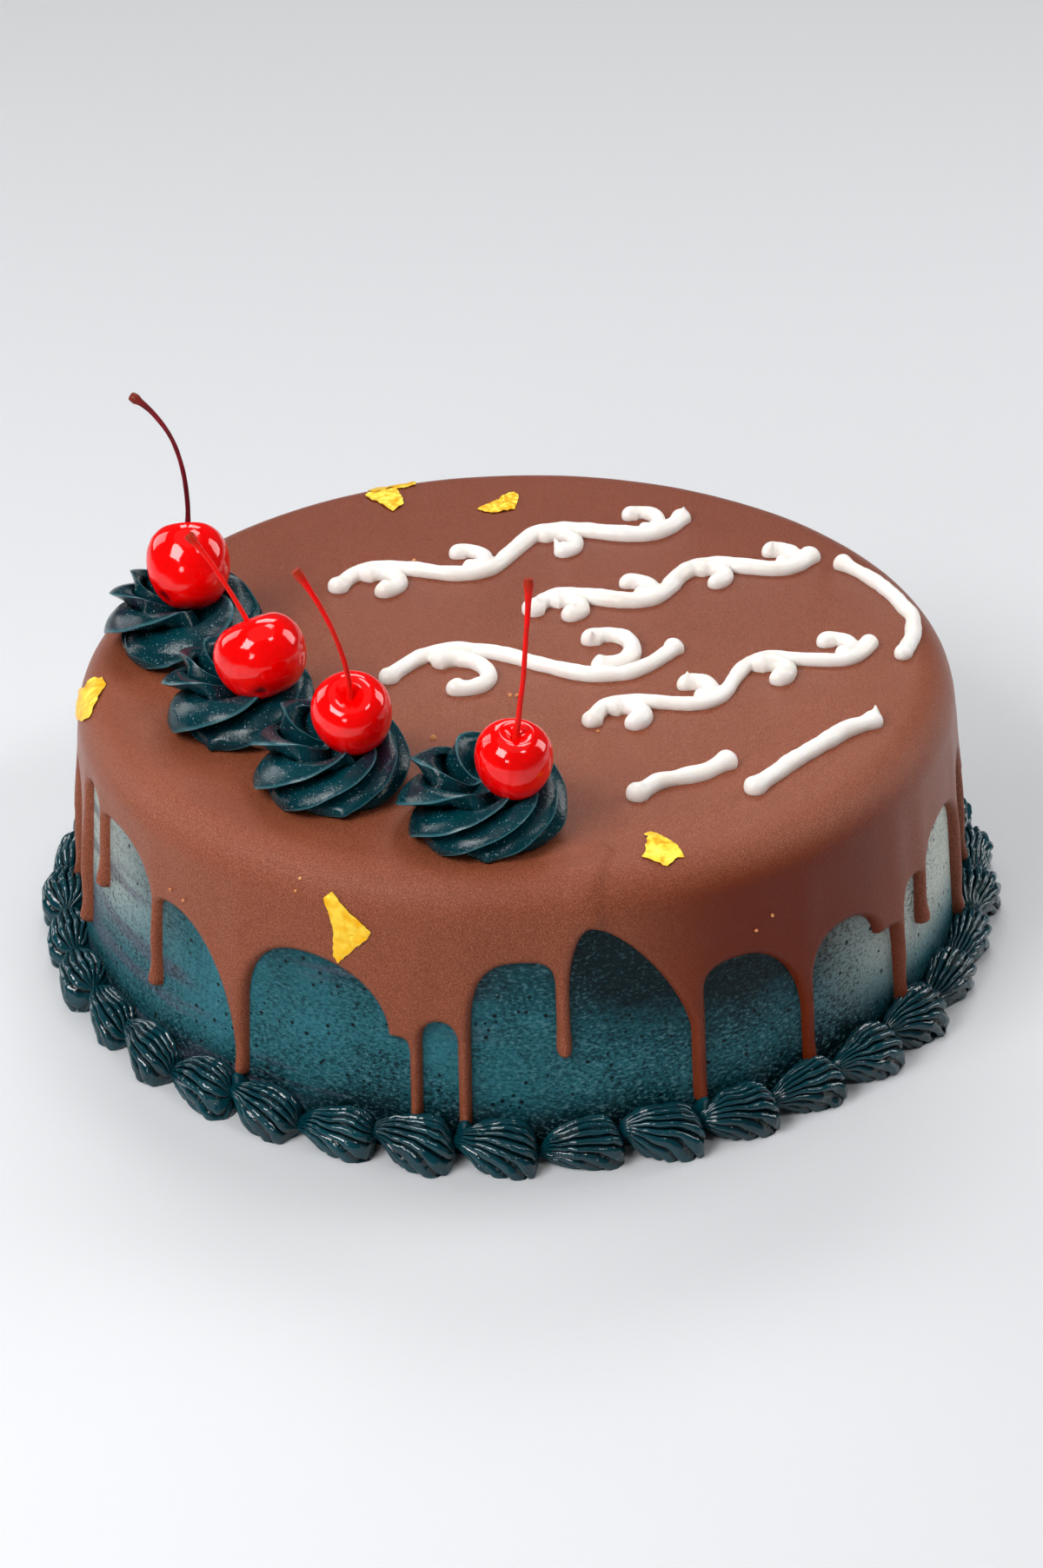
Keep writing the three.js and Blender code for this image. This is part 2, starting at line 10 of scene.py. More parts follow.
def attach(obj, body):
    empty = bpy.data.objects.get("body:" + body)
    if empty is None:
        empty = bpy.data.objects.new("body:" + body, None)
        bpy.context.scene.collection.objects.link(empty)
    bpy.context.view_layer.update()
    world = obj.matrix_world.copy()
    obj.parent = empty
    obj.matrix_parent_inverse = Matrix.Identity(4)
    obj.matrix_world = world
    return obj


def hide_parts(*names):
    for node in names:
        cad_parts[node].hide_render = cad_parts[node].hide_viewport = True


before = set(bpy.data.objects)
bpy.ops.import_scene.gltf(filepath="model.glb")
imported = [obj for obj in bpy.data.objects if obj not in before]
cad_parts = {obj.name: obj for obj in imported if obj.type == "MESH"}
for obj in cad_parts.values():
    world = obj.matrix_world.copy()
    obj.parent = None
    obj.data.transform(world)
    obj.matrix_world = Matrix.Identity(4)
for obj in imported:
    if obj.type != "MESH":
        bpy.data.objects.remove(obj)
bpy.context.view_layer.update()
bpy.ops.object.select_all(action="DESELECT")

# ---- Camera ---------------------------------------------------------------------------------------
# It stands in front of the cake, looks down on it from 31 degrees, and is tipped a little to one side.
# Sizes in this file are in millimetres and are turned into metres by MM. Only the floor's sizes, and
# the places, texture scales and subsurface scales in the materials, are in metres.
MM = 0.001
CAMERA_ELEVATION = 31.006
CAMERA_ROLL = -1.468
CAMERA_DISTANCE = 1025.8
LOOK_AT = (1.0, 0.0, 37.35)
LONG_SIDE = 36.0
FOCAL_LENGTH = 79.32

bpy.ops.object.camera_add()
camera = bpy.context.object
camera.name = "camera"
camera.data.sensor_width = LONG_SIDE
camera.data.lens = FOCAL_LENGTH
camera.matrix_world = (
    Matrix.Translation(Vector(LOOK_AT) * MM)
    @ Matrix.Rotation(math.radians(90 - CAMERA_ELEVATION), 4, "X")
    @ Matrix.Rotation(math.radians(CAMERA_ROLL), 4, "Z")
    @ Matrix.Translation((0, 0, CAMERA_DISTANCE * MM))
)
bpy.context.scene.camera = camera

# ---- Studio ---------------------------------------------------------------------------------------
# A pale table top that runs out of the picture, a weak pale surround, a faint soft light overhead, and
# softboxes: the key light at the front left, two smaller ones beside and above the camera, a low one at
# each side towards the back, a high one behind, and a far wide one that the top of the cake mirrors.
FLOOR_SIZE = 12
FLOOR_FADE = (0.2, 2.2)
FLOOR_COLOUR = (0.65, 0.66, 0.68, 1)
FLOOR_FAR_PAINTED_LIGHT = (0.88, 0.88, 0.89, 1)
SURROUND_COLOUR = (0.93, 0.96, 1.0, 1)
SURROUND_STRENGTH = 0.08
OVERHEAD_POWER = 0.2
OVERHEAD_SPREAD = 60
AIM = (0, 0, 60)


def add_node(tree, kind, inputs=(), **settings):
    """One shader node. Inputs map a socket to a value, or to the output of another node."""
    made = tree.nodes.new(kind)
    for name, value in settings.items():
        setattr(made, name, value)
    for name, value in dict(inputs).items():
        if isinstance(value, bpy.types.NodeSocket):
            tree.links.new(value, made.inputs[name])
        else:
            made.inputs[name].default_value = value
    return made


def new_material(name, **constants):
    """A material with its shader; a constant's name is the socket's name with _ for each space."""
    material = bpy.data.materials.new(name)
    material.use_nodes = True
    shader = material.node_tree.nodes["Principled BSDF"]
    for socket, value in constants.items():
        shader.inputs[socket.replace("_", " ")].default_value = value
    return material, material.node_tree, shader


def add_softbox(name, azimuth, elevation, distance, size, power):
    """An area light that faces the cake; azimuth is degrees round from the front towards the right."""
    turn = math.radians(azimuth)
    rise = math.radians(elevation)
    away = Vector((math.sin(turn) * math.cos(rise), -math.cos(turn) * math.cos(rise), math.sin(rise)))
    bpy.ops.object.light_add(type="AREA", location=(Vector(AIM) + away * distance) * MM)
    light = bpy.context.object
    light.name = name
    light.rotation_euler = away.to_track_quat("Z", "Y").to_euler()
    light.data.shape = "RECTANGLE"
    light.data.size = size[0] * MM
    light.data.size_y = size[1] * MM
    light.data.energy = power


def object_place(tree):
    """The place in the object's own coordinates"""
    return add_node(tree, "ShaderNodeTexCoord").outputs["Object"]


def object_axes(tree):
    """X, Y and Z of that place"""
    return add_node(tree, "ShaderNodeSeparateXYZ", {0: object_place(tree)}).outputs


def ramp(value, *stops):
    """Colours at places along a value"""
    made = add_node(value.id_data, "ShaderNodeValToRGB", {"Fac": value})
    elements = made.color_ramp.elements
    while len(elements) < len(stops):
        elements.new(0.5)
    for element, (position, colour) in zip(elements, stops):
        element.position = position
        element.color = colour
    return made.outputs["Color"]


def fade(value, start, end, low=0, high=1):
    """A smooth change from low to high as the value goes from start to end"""
    sockets = {"Value": value, "From Min": start, "From Max": end, "To Min": low, "To Max": high}
    made = add_node(value.id_data, "ShaderNodeMapRange", sockets, interpolation_type="SMOOTHSTEP")
    return made.outputs[0]


bpy.ops.mesh.primitive_plane_add(size=FLOOR_SIZE)
floor = bpy.context.object
floor.name = "floor"
floor_material, tree, shader = new_material("pale_table", Roughness=0.6)
_, y, _ = object_axes(tree)
# The table top is painted paler far off, a painted light
away = fade(y, *FLOOR_FADE)
table_colour = ramp(away, (0, FLOOR_COLOUR), (1, FLOOR_FAR_PAINTED_LIGHT))
tree.links.new(table_colour, shader.inputs["Base Color"])
floor.data.materials.append(floor_material)

world = bpy.data.worlds.new("pale_surround")
bpy.context.scene.world = world
world.use_nodes = True
background = world.node_tree.nodes["Background"]
background.inputs["Color"].default_value = SURROUND_COLOUR
background.inputs["Strength"].default_value = SURROUND_STRENGTH
bpy.context.scene.view_settings.view_transform = "Standard"

add_softbox("key_softbox", -48, 44, 1000, (420, 420), 7.2)
add_softbox("camera_softbox", -24, 21, 1500, (240, 320), 2.2)
add_softbox("spot_softbox", 45, 56, 1200, (240, 200), 1.6)
add_softbox("right_softbox", 110, 26, 1200, (450, 700), 5)
add_softbox("left_softbox", -118, 24, 1200, (500, 700), 4)
add_softbox("top_softbox", 150, 68, 1300, (420, 300), 3.0)
add_softbox("back_softbox", 180, 42, 3000, (1500, 800), 24)

bpy.ops.object.light_add(type="SUN")
overhead = bpy.context.object
overhead.name = "overhead_light"
overhead.data.energy = OVERHEAD_POWER
overhead.data.angle = math.radians(OVERHEAD_SPREAD)

# ---- Frosted body ---------------------------------------------------------------------------------
# A round ten inch layer cake under a smooth coat of teal buttercream, scraped with a straight edge so
# that the wall leans in a little, and given an uneven spray of mid teal. On it lies painted light and
# shade: painted light at the left, painted shade at the foot, near black painted shade under the glaze
# and at the right, and a pale painted sheen at both sides. The coat keeps a fine orange peel, small air
# pits and faint streaks of purple.
BODY_HEIGHT = 79.6
BASE_RADIUS = 132.0
TOP_RADIUS = 124.5
SHOULDER_RADIUS = 10.0
BODY_COLUMNS = 540
WALL_STEP = 1.5
SHOULDER_ROWS = 10
WALL_SWELL = 0.22
SWELL_SIZE = 22
WALL_PEEL = 0.05
PEEL_SIZE = 3
PIT_DRAWS = (0.44, 0.78)
PIT_SIZE = 0.26
PIT_EDGE = 0.05
PIT_SINK = -1.2
PAINTED_SHEEN_STRENGTH = 0.9
STREAK_SHAPE = (9, 9, 75)
SPECKLE_SHAPE = (0.55, 0.55, 1)
TEAL_DARK = (0.0, 0.01, 0.014, 1)
TEAL_MID = (0.006, 0.07, 0.09, 1)
TEAL_LIGHT = (0.022, 0.15, 0.185, 1)
STREAK_PURPLE = (0.07, 0.065, 0.1, 1)
PAINTED_PIT_SHADE = (0.0, 0.008, 0.011, 1)
PAINTED_GLINT = (0.12, 0.26, 0.29, 1)
PAINTED_SHEEN = (0.64, 0.67, 0.6, 1)

LEAN = math.atan2(BASE_RADIUS - TOP_RADIUS, BODY_HEIGHT)
SHOULDER_LENGTH = SHOULDER_RADIUS * (math.pi / 2 - LEAN)
SHOULDER_CENTRE = BODY_HEIGHT - SHOULDER_RADIUS
SHOULDER_FOOT = SHOULDER_CENTRE + SHOULDER_RADIUS * math.sin(LEAN)
SHOULDER_REACH = SHOULDER_RADIUS / math.cos(LEAN)


def wall_radius(z):
    """Radius of the wall at a height"""
    return BASE_RADIUS + (TOP_RADIUS - BASE_RADIUS) * z / BODY_HEIGHT


FLAT_RADIUS = wall_radius(SHOULDER_CENTRE) - SHOULDER_REACH


def on_body(angle, down, lift):
    """Points on the body's surface, moved out by lift. The angle is in degrees round from the front,
    and down is the distance along the surface from the edge of the flat top, negative on the flat."""
    turn = np.radians(angle)
    arc = np.clip(down, 0, SHOULDER_LENGTH) / SHOULDER_RADIUS
    below = np.maximum(down - SHOULDER_LENGTH, 0)
    reach = (SHOULDER_RADIUS + lift) * np.sin(arc)
    radius = FLAT_RADIUS + np.minimum(down, 0) + reach + below * math.sin(LEAN)
    z = SHOULDER_CENTRE + (SHOULDER_RADIUS + lift) * np.cos(arc) - below * math.cos(LEAN)
    return np.stack([radius * np.sin(turn), -radius * np.cos(turn), z], axis=-1)


def down_at(z):
    """Distance down the surface of a height on the wall"""
    return SHOULDER_LENGTH + (SHOULDER_FOOT - z) / math.cos(LEAN)


def waves(points, size, seed=0):
    """Smooth noise from about -1 to 1 at each point, with lumps of about that size"""
    shift = Vector((seed * 7.31, seed * 3.17, seed * 5.53))
    return np.array([noise.noise(Vector(point).to_3d() / size + shift) for point in points])


def points_of(piece):
    """The points of a piece, in the size they have in Blender"""
    flat = np.empty(len(piece.data.vertices) * 3)
    piece.data.vertices.foreach_get("co", flat)
    return flat.reshape(-1, 3)


def move_points(piece, points):
    """Moves the points of a piece to places in millimetres."""
    piece.data.vertices.foreach_set("co", (points * MM).ravel())
    piece.data.update()


def keep_depth(piece, depth):
    """Stores a number for each vertex, which the materials read."""
    layer = piece.data.attributes.new("depth", "FLOAT", "POINT")
    layer.data.foreach_set("value", np.asarray(depth, float))


def face_outwards(seams=False):
    """Turns the faces of the chosen mesh outwards, once its seams are closed if it has any."""
    bpy.ops.object.mode_set(mode="EDIT")
    bpy.ops.mesh.select_all(action="SELECT")
    if seams:
        bpy.ops.mesh.remove_doubles(threshold=1e-6)
        bpy.ops.mesh.dissolve_degenerate(threshold=1e-7)
    bpy.ops.mesh.normals_make_consistent(inside=False)
    bpy.ops.object.mode_set(mode="OBJECT")


def shade_smooth(angle):
    """Smooth shading of the chosen mesh, but for edges sharper than that angle"""
    bpy.ops.object.shade_smooth_by_angle(angle=math.radians(angle))


def bend_grid(name, columns, rows, place, angle=None):
    """A grid of faces bent into a closed piece: place gives the points from arrays of the share of the
    way round and the share of the way along. A fourth column is kept on the mesh as its depth. Edges
    sharper than the angle stay sharp."""
    bpy.ops.mesh.primitive_grid_add(x_subdivisions=columns, y_subdivisions=rows, size=1)
    piece = bpy.context.object
    piece.name = name
    shares = points_of(piece) + 0.5
    placed = place(shares[:, 0], shares[:, 1])
    move_points(piece, placed[:, :3])
    if placed.shape[1] > 3:
        keep_depth(piece, placed[:, 3])
    face_outwards(seams=True)
    if angle:
        shade_smooth(angle)
    else:
        bpy.ops.object.shade_smooth()
    return piece


def finish_piece(piece, material, slot, *nodes):
    """Gives a piece its material and its place in the frame."""
    piece.data.materials.clear()
    piece.data.materials.append(material)
    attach(piece, "root")
    if nodes:
        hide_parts(*nodes)
    bpy.ops.object.select_all(action="DESELECT")


wall_rows = [down_at(z) for z in np.arange(0, SHOULDER_FOOT, WALL_STEP)]
shoulder_rows = list(np.linspace(SHOULDER_LENGTH, 0, SHOULDER_ROWS))
profile_down = np.array(wall_rows + shoulder_rows + [-FLAT_RADIUS])


def body_points(round_share, along_share):
    """The body's surface, from the middle of its base up the wall to the middle of its top"""
    row = np.rint(along_share * len(profile_down)).astype(int) - 1
    points = on_body(round_share * 360, profile_down[np.maximum(row, 0)], 0.0)
    points[row < 0] = 0
    turn = np.radians(round_share * 360)
    outward = np.stack([np.sin(turn), -np.cos(turn)], -1)
    swell = WALL_SWELL * waves(points, SWELL_SIZE) + WALL_PEEL * waves(points, PEEL_SIZE, 2)
    points[:, :2] += outward * (swell * (row > 0) * (row < len(wall_rows)))[:, None]
    return points


body = bend_grid("frosted_body", BODY_COLUMNS, len(profile_down), body_points, 50)


def noise_value(place, scale, detail, roughness=0.5, distortion=0):
    """Smooth noise from 0 to 1, with a scale in lumps to the metre"""
    sockets = {"Vector": place, "Scale": scale, "Detail": detail, "Roughness": roughness}
    sockets["Distortion"] = distortion
    return add_node(place.id_data, "ShaderNodeTexNoise", sockets).outputs[0]


def combine(operation, first, *others):
    """The result of a maths node; the first value comes from another node."""
    sockets = dict(enumerate((first, *others)))
    return add_node(first.id_data, "ShaderNodeMath", sockets, operation=operation).outputs[0]


def times(product, *factors):
    """Values multiplied with one another"""
    for factor in factors:
        product = combine("MULTIPLY", product, factor)
    return product


def plus(total, *parts):
    """Values added up"""
    for part in parts:
        total = combine("ADD", total, part)
    return total


def new_group(name, inputs, outputs):
    """An empty shader group; inputs map a name to a value, and outputs are names with a socket type."""
    group = bpy.data.node_groups.new(name, "ShaderNodeTree")
    for label, value in inputs.items():
        socket = group.interface.new_socket(name=label, in_out="INPUT", socket_type="NodeSocketFloat")
        socket.default_value = value
    for label, kind in outputs.items():
        group.interface.new_socket(name=label, in_out="OUTPUT", socket_type=kind)
    entry = group.nodes.new("NodeGroupInput")
    leave = group.nodes.new("NodeGroupOutput")
    return group, entry.outputs, leave.inputs


# Buttercream surface: an orange peel of small bumps, scattered air pits, and soft patches of colour.
# Each pit draws its own size, and the smaller draws leave no pit.
frosting, entry, leave = new_group(
    "frosting_surface",
    {"Peel Scale": 800, "Pit Scale": 330, "Patch Scale": 28},
    {"Height": "NodeSocketFloat", "Pits": "NodeSocketFloat", "Patches": "NodeSocketFloat"},
)
place = object_place(frosting)
peel = noise_value(place, entry["Peel Scale"], 3)
sockets = {"Vector": place, "Scale": entry["Pit Scale"]}
pits = add_node(frosting, "ShaderNodeTexVoronoi", sockets).outputs
least, most = PIT_DRAWS
sockets = {"Value": pits["Color"], "From Min": least, "From Max": most, "To Max": PIT_SIZE}
pit_size = add_node(frosting, "ShaderNodeMapRange", sockets).outputs[0]
inside = combine("SUBTRACT", pit_size, pits["Distance"])
pit = add_node(frosting, "ShaderNodeMapRange", {"Value": inside, "From Max": PIT_EDGE}).outputs[0]
frosting.links.new(combine("MULTIPLY_ADD", pit, PIT_SINK, peel), leave["Height"])
frosting.links.new(pit, leave["Pits"])
frosting.links.new(noise_value(place, entry["Patch Scale"], 4, 0.55), leave["Patches"])


def add_group(tree, group, **inputs):
    """A shader group in a material; an input's name has _ for each space."""
    made = tree.nodes.new("ShaderNodeGroup")
    made.node_tree = group
    for name, value in inputs.items():
        made.inputs[name.replace("_", " ")].default_value = value
    return made.outputs


def blend_colour(mask, first, second):
    """From the first colour where the mask is 0 to the second where it is 1. A mix node has its factor
    in socket 0 and its colours in sockets 6 and 7, and gives the colour in output 2."""
    sockets = {0: mask, 6: first, 7: second}
    return add_node(first.id_data, "ShaderNodeMix", sockets, data_type="RGBA").outputs[2]


def set_surface(shader, colour, height, strength, distance):
    """Gives a material its colour and a relief from a height."""
    tree = shader.id_data
    sockets = {"Height": height, "Strength": strength, "Distance": distance * MM}
    tree.links.new(colour, shader.inputs["Base Color"])
    tree.links.new(add_node(tree, "ShaderNodeBump", sockets).outputs[0], shader.inputs["Normal"])


wall_frosting, tree, shader = new_material(
    "teal_wall_frosting", Roughness=0.36, Specular_IOR_Level=0.15,
)
surface = add_group(tree, frosting, Peel_Scale=850, Pit_Scale=400, Patch_Scale=20)
x, _, z = object_axes(tree)
# Painted light at the left, and painted shade at the foot, near the top, and most of all high up at the
# right
painted_light_left = fade(x, 0.03, -0.03, 0.05, 0.14)
foot = fade(z, 0.004, 0.022, -0.35, 0)
upper = fade(z, 0.034, 0.06, 0, -0.24)
painted_shade_right = times(fade(x, 0.0, 0.03), fade(x, 0.105, 0.07), fade(z, 0.02, 0.05, 0.06, 0.36))
shade = combine("SUBTRACT", plus(surface["Patches"], painted_light_left, foot, upper), painted_shade_right)
spray_and_painted_light = ramp(shade, (0.26, TEAL_DARK), (0.48, TEAL_MID), (0.72, TEAL_LIGHT))
# A pale painted sheen at both sides, above the foot.
right_side = times(fade(x, 0.072, 0.12), fade(z, 0.012, 0.034))
left_side = times(fade(x, -0.09, -0.128, 0, 0.75), fade(z, 0.024, 0.048))
painted_sheen_mask = times(plus(right_side, left_side), PAINTED_SHEEN_STRENGTH)
spray_and_painted_light = blend_colour(painted_sheen_mask, spray_and_painted_light, PAINTED_SHEEN)
# Faint level streaks, in the left half only
level = add_node(tree, "ShaderNodeMapping", {"Vector": object_place(tree), "Scale": STREAK_SHAPE})
streaks = noise_value(level.outputs[0], 1.6, 2)
faint = times(fade(x, 0.0, -0.03), fade(streaks, 0.54, 0.66, 0, 0.65))
streaked = blend_colour(faint, spray_and_painted_light, STREAK_PURPLE)
# Flattened speckles: painted shade in the hollows of the coat and painted glints on top, more glints in
# the right half
flattened = add_node(tree, "ShaderNodeMapping", {"Vector": object_place(tree), "Scale": SPECKLE_SHAPE})
speckle = noise_value(flattened.outputs[0], 1400, 3, 0.65)
rougher = times(fade(x, -0.02, 0.03, 0, 0.5), fade(x, 0.1, 0.075))
rough = plus(fade(surface["Patches"], 0.38, 0.56, 1.0, 0.4), rougher)
hollow_shade_mask = times(rough, fade(speckle, 0.49, 0.4, 0, 0.9))
hollow_shaded = blend_colour(hollow_shade_mask, streaked, PAINTED_PIT_SHADE)
rightwards = fade(x, -0.04, 0.02, 0.45, 0.75)
pale = times(fade(speckle, 0.53, 0.66), rightwards, fade(painted_shade_right, 0.08, 0.3, 1, 0.25))
glint_painted = blend_colour(times(rough, pale), hollow_shaded, PAINTED_GLINT)
# Painted shade in the air pits
pitted = blend_colour(surface["Pits"], glint_painted, PAINTED_PIT_SHADE)
set_surface(shader, pitted, surface["Height"], 0.9, 0.5)
finish_piece(body, wall_frosting, "teal_frosting", "cake_body")

# ---- Chocolate glaze ------------------------------------------------------------------------------
# Milk chocolate glaze, poured on the top and pushed over the edge so that it runs down the wall in
# drips. It is a thin sheet with a rounded edge, a little fuller in each drip, and fullest at the tip.
GLAZE_LIFT = 1.9
DRIP_LIFT = 2.75
DRIP_SPREAD = 3.5
DRIP_RIDGE = 0.45
DRIP_BEAD = 0.7
DRIP_BEAD_SIZE = 2.2
CREASE_LIFT = 1.0
CREASE_SPREAD = (5.5, 1.3)
RIM_SINK = 0.15
EDGE_ROUND = 2.3
EDGE_INSETS = (0.3, 0.75, 1.35, 2.1)
GLAZE_GRID = 1.35
TOP_GRID = 2.6
UNDERSIDE_GRID = 4.5
UNDERSIDE_TOP_GRID = 9
OUTLINE_STEP = 0.6
FINE_STEP = 0.25
CORNER_SPREAD = 2.6
NEAREST = 1e-5
HIDDEN_DRIPS = 14
LONG_DRIPS = 0.6
OUTLINE_RADIUS = 127.0
COCOA = (0.245, 0.062, 0.027, 1)
COCOA_DARK = (0.165, 0.038, 0.014, 1)
COCOA_PALE = (0.38, 0.13, 0.072, 1)
COCOA_PAINTED_SHADE = (0.15, 0.018, 0.002, 1)
COCOA_CLOUD = (0.2, 0.049, 0.02, 1)
CLOUD_SHARE = 0.36

# The drips at the front, as measured: place in degrees, width, height of the tip, and how much the
# tip swells; then the arch to the next drip: where it leaves this one, the angle and height of its
# peak, where it meets the next, how square its halves are, and a shelf that some have at the right.
drip_words = ("at", "width", "tip", "swell", "leave", "peak_at", "peak", "meet", "square", "shelf")
front_drips = [dict(zip(drip_words, measures)) for measures in (
    (-73.3, 4.2, 17, 1, 61, -70.6, 66.4, 62.4),
    (-65.9, 4.4, 38.4, 1.15, 62.6, -60.4, 63.8, 49.7),
    (-51.4, 3.4, 23.8, 1.35, 49.7, -48.3, 53, 16.4),
    (-36.1, 3.9, 10.4, 1, 33.5, -27.1, 55.2, 31.4, (2.4, 2), (-16.2, 35.2)),
    (-12.9, 3.4, 9.8, 1, 34.2, -9.9, 40.7, 35),
    (-7.1, 3.6, 8.5, 1, 35.2, 0.4, 58.7, 49.4, (3, 3)),
    (4.7, 3.7, 30, 1.15, 49.1, 8.2, 67.7, 32.4, (1.9, 1.45)),
    (21.1, 3.8, 9.4, 1, 42.2, 27, 50.5, 26.2, (3, 2)),
    (36.4, 3.7, 9.3, 1, 34.7, 43, 47.5, 30.3, (2.4, 2), (48.8, 36.9)),
    (53.7, 4.2, 8.5, 1, 33.9, 57.6, 45.4, 43, (3, 3)),
    (60.1, 4.1, 27, 1.25, 42.1, 68.4, 52.9, 43),
    (75, 4.2, 9, 1, 44, 81.5, 55, 42),
)]


def draw(number, low=0, high=1):
    """A repeatable draw from low to high for each number"""
    value = math.sin(number * 12.9898 + 4.1414) * 43758.5453
    return low + (high - low) * (value - math.floor(value))


def mix(start, end, share):
    """The value that lies that share of the way from start to end"""
    return start + (end - start) * share


def ease(share):
    """A smooth step from 0 to 1"""
    share = np.clip(share, 0, 1)
    return share * share * (3 - 2 * share)


# Round the back the drips go on in the same manner, each with draws for its place and sizes.
back_start = front_drips[-1]["at"]
back_pitch = (360 + front_drips[0]["at"] - back_start) / (HIDDEN_DRIPS + 1)
drips = list(front_drips)
for number in range(HIDDEN_DRIPS):
    at = back_start + back_pitch * (number + 1 + 0.35 * (draw(number) - 0.5))
    long = draw(number + 20) < LONG_DRIPS
    drips.append(dict(
        at=at,
        width=draw(number + 40, 3.5, 4.2),
        tip=draw(number + 60, 8.5, 12) if long else draw(number + 60, 22, 36),
        swell=1 if long else 1.25,
        leave=draw(number + 80, 40, 46),
        peak_at=at + back_pitch * draw(number + 100, 0.35, 0.6),
        peak=draw(number + 120, 49, 64),
        meet=draw(number + 140, 36, 44),
    ))


def drip_half(height, width, swell):
    """Half the breadth of a drip at a height above its tip"""
    ball = swell * width / 2
    if height < ball:
        return math.sqrt(ball ** 2 - (ball - height) ** 2)
    return mix(ball, width / 2, float(ease((height - ball) / (2.2 * width))))


def drip_side(drip, side, top):
    """One side of a drip from its tip up, as angles and heights"""
    heights = np.concatenate([np.linspace(0, 1, 9) ** 2 * 2, np.arange(2.5, top - drip["tip"], 0.5)])
    halves = [drip_half(height, drip["width"], drip["swell"]) for height in heights]
    z = drip["tip"] + heights
    return [(drip["at"] + side * math.degrees(half / wall_radius(h)), h) for half, h in zip(halves, z)]


def arch(drip, following):
    """The outline from the right side of a drip to the left side of the next"""
    leave, meet = drip["leave"], drip["meet"]
    start = drip["at"] + math.degrees(drip["width"] / 2 / wall_radius(leave))
    end = following["at"] - math.degrees(following["width"] / 2 / wall_radius(meet))
    square = drip.get("square", (2.4, 2))
    shelf = drip.get("shelf", (end, meet))
    steps = np.radians(np.linspace(4, 86, 22))
    outline = []
    for (side, z), power, order in (((start, leave), square[0], steps), (shelf, square[1], steps[::-1])):
        for step in order:
            across = math.cos(step) ** (2 / power)
            rise = math.sin(step) ** (2 / power)
            outline.append((mix(drip["peak_at"], side, across), mix(z, drip["peak"], rise)))
    if "shelf" in drip:
        outline += [shelf, (mix(shelf[0], end, 0.5), shelf[1] - 0.2), (end - 0.3, shelf[1] - 0.6)]
    return outline


# The whole outline, drip after drip round the cake, as angles and heights
corner_points = []
for number, drip in enumerate(drips):
    before = drips[number - 1]
    following = dict(drips[(number + 1) % len(drips)])
    if number + 1 == len(drips):
        following["at"] += 360
    corner_points += drip_side(drip, -1, before["meet"])[::-1]
    corner_points += drip_side(drip, 1, drip["leave"])[1:]
    corner_points += arch(drip, following)
corner_points = np.array(corner_points)
# Unrolled, the outline is measured in millimetres round the cake and down its surface.
PER_DEGREE = math.radians(1) * OUTLINE_RADIUS
TURN = 360 * PER_DEGREE


def resample(points, step=1.0, count=None):
    """Evenly spaced points along a line, at about that step, or else in so many steps"""
    along = np.concatenate([[0], np.cumsum(np.hypot(*np.diff(points, axis=0).T))])
    places = np.linspace(0, along[-1], (count or max(int(round(along[-1] / step)), 2)) + 1)
    return np.stack([np.interp(places, along, axis) for axis in points.T], axis=-1)


def soften(points, spread):
    """A closed outline round the cake with its corners rounded off over that many points"""
    reach = int(4 * spread)
    weights = np.exp(-0.5 * (np.arange(-reach, reach + 1) / spread) ** 2)
    weights /= weights.sum()
    padded = np.concatenate([points[-reach:] - (TURN, 0), points, points[:reach] + (TURN, 0)])
    return np.stack([np.convolve(axis, weights, mode="valid") for axis in padded.T], axis=-1)


unrolled = np.stack([corner_points[:, 0] * PER_DEGREE, down_at(corner_points[:, 1])], axis=-1)
closed = np.concatenate([unrolled, unrolled[:1] + (TURN, 0)])
fine_outline = soften(resample(closed, FINE_STEP)[:-1], CORNER_SPREAD)
outline = resample(np.concatenate([fine_outline, fine_outline[:1] + (TURN, 0)]), OUTLINE_STEP)[:-1]


def inward(points):
    """Unit vectors to the inner side of the outline"""
    along = np.roll(points, -1, axis=0) - np.roll(points, 1, axis=0)
    along[:, 0] -= np.rint(along[:, 0] / TURN) * TURN
    inside = np.stack([along[:, 1], -along[:, 0]], axis=-1)
    return inside / np.linalg.norm(inside, axis=1, keepdims=True)


fine_inward = inward(fine_outline)
edge_finder = KDTree(len(fine_outline) * 3)
for turn in (-1, 0, 1):
    for number, (x, y) in enumerate(fine_outline):
        edge_finder.insert((x + turn * TURN, y, 0), number)
edge_finder.balance()


def depth_inside(point):
    """How far a point lies inside the outline; negative outside it"""
    found, number, distance = edge_finder.find((point[0], point[1], 0))
    offset = (point[0] - found[0], point[1] - found[1])
    inner_side = offset[0] * fine_inward[number][0] + offset[1] * fine_inward[number][1]
    return math.copysign(distance, inner_side)


def grid_points(step, first_down, last_down):
    """Staggered rows of points round the cake"""
    count = int(TURN / step)
    rows = np.arange(first_down, last_down, step * 0.87)
    return np.array([
        ((column + 0.5 * (row % 2)) * TURN / count + fine_outline[0][0], down)
        for row, down in enumerate(rows) for column in range(count)
    ])


def top_points(step, last_down):
    """Rings of points on the flat top, out to a distance from its edge"""
    rings = np.arange(step, FLAT_RADIUS + last_down, step)
    return np.array([
        (math.degrees(share) * PER_DEGREE, ring - FLAT_RADIUS)
        for ring in rings
        for share in np.linspace(0, 2 * math.pi, int(2 * math.pi * ring / step), endpoint=False) + ring
    ])


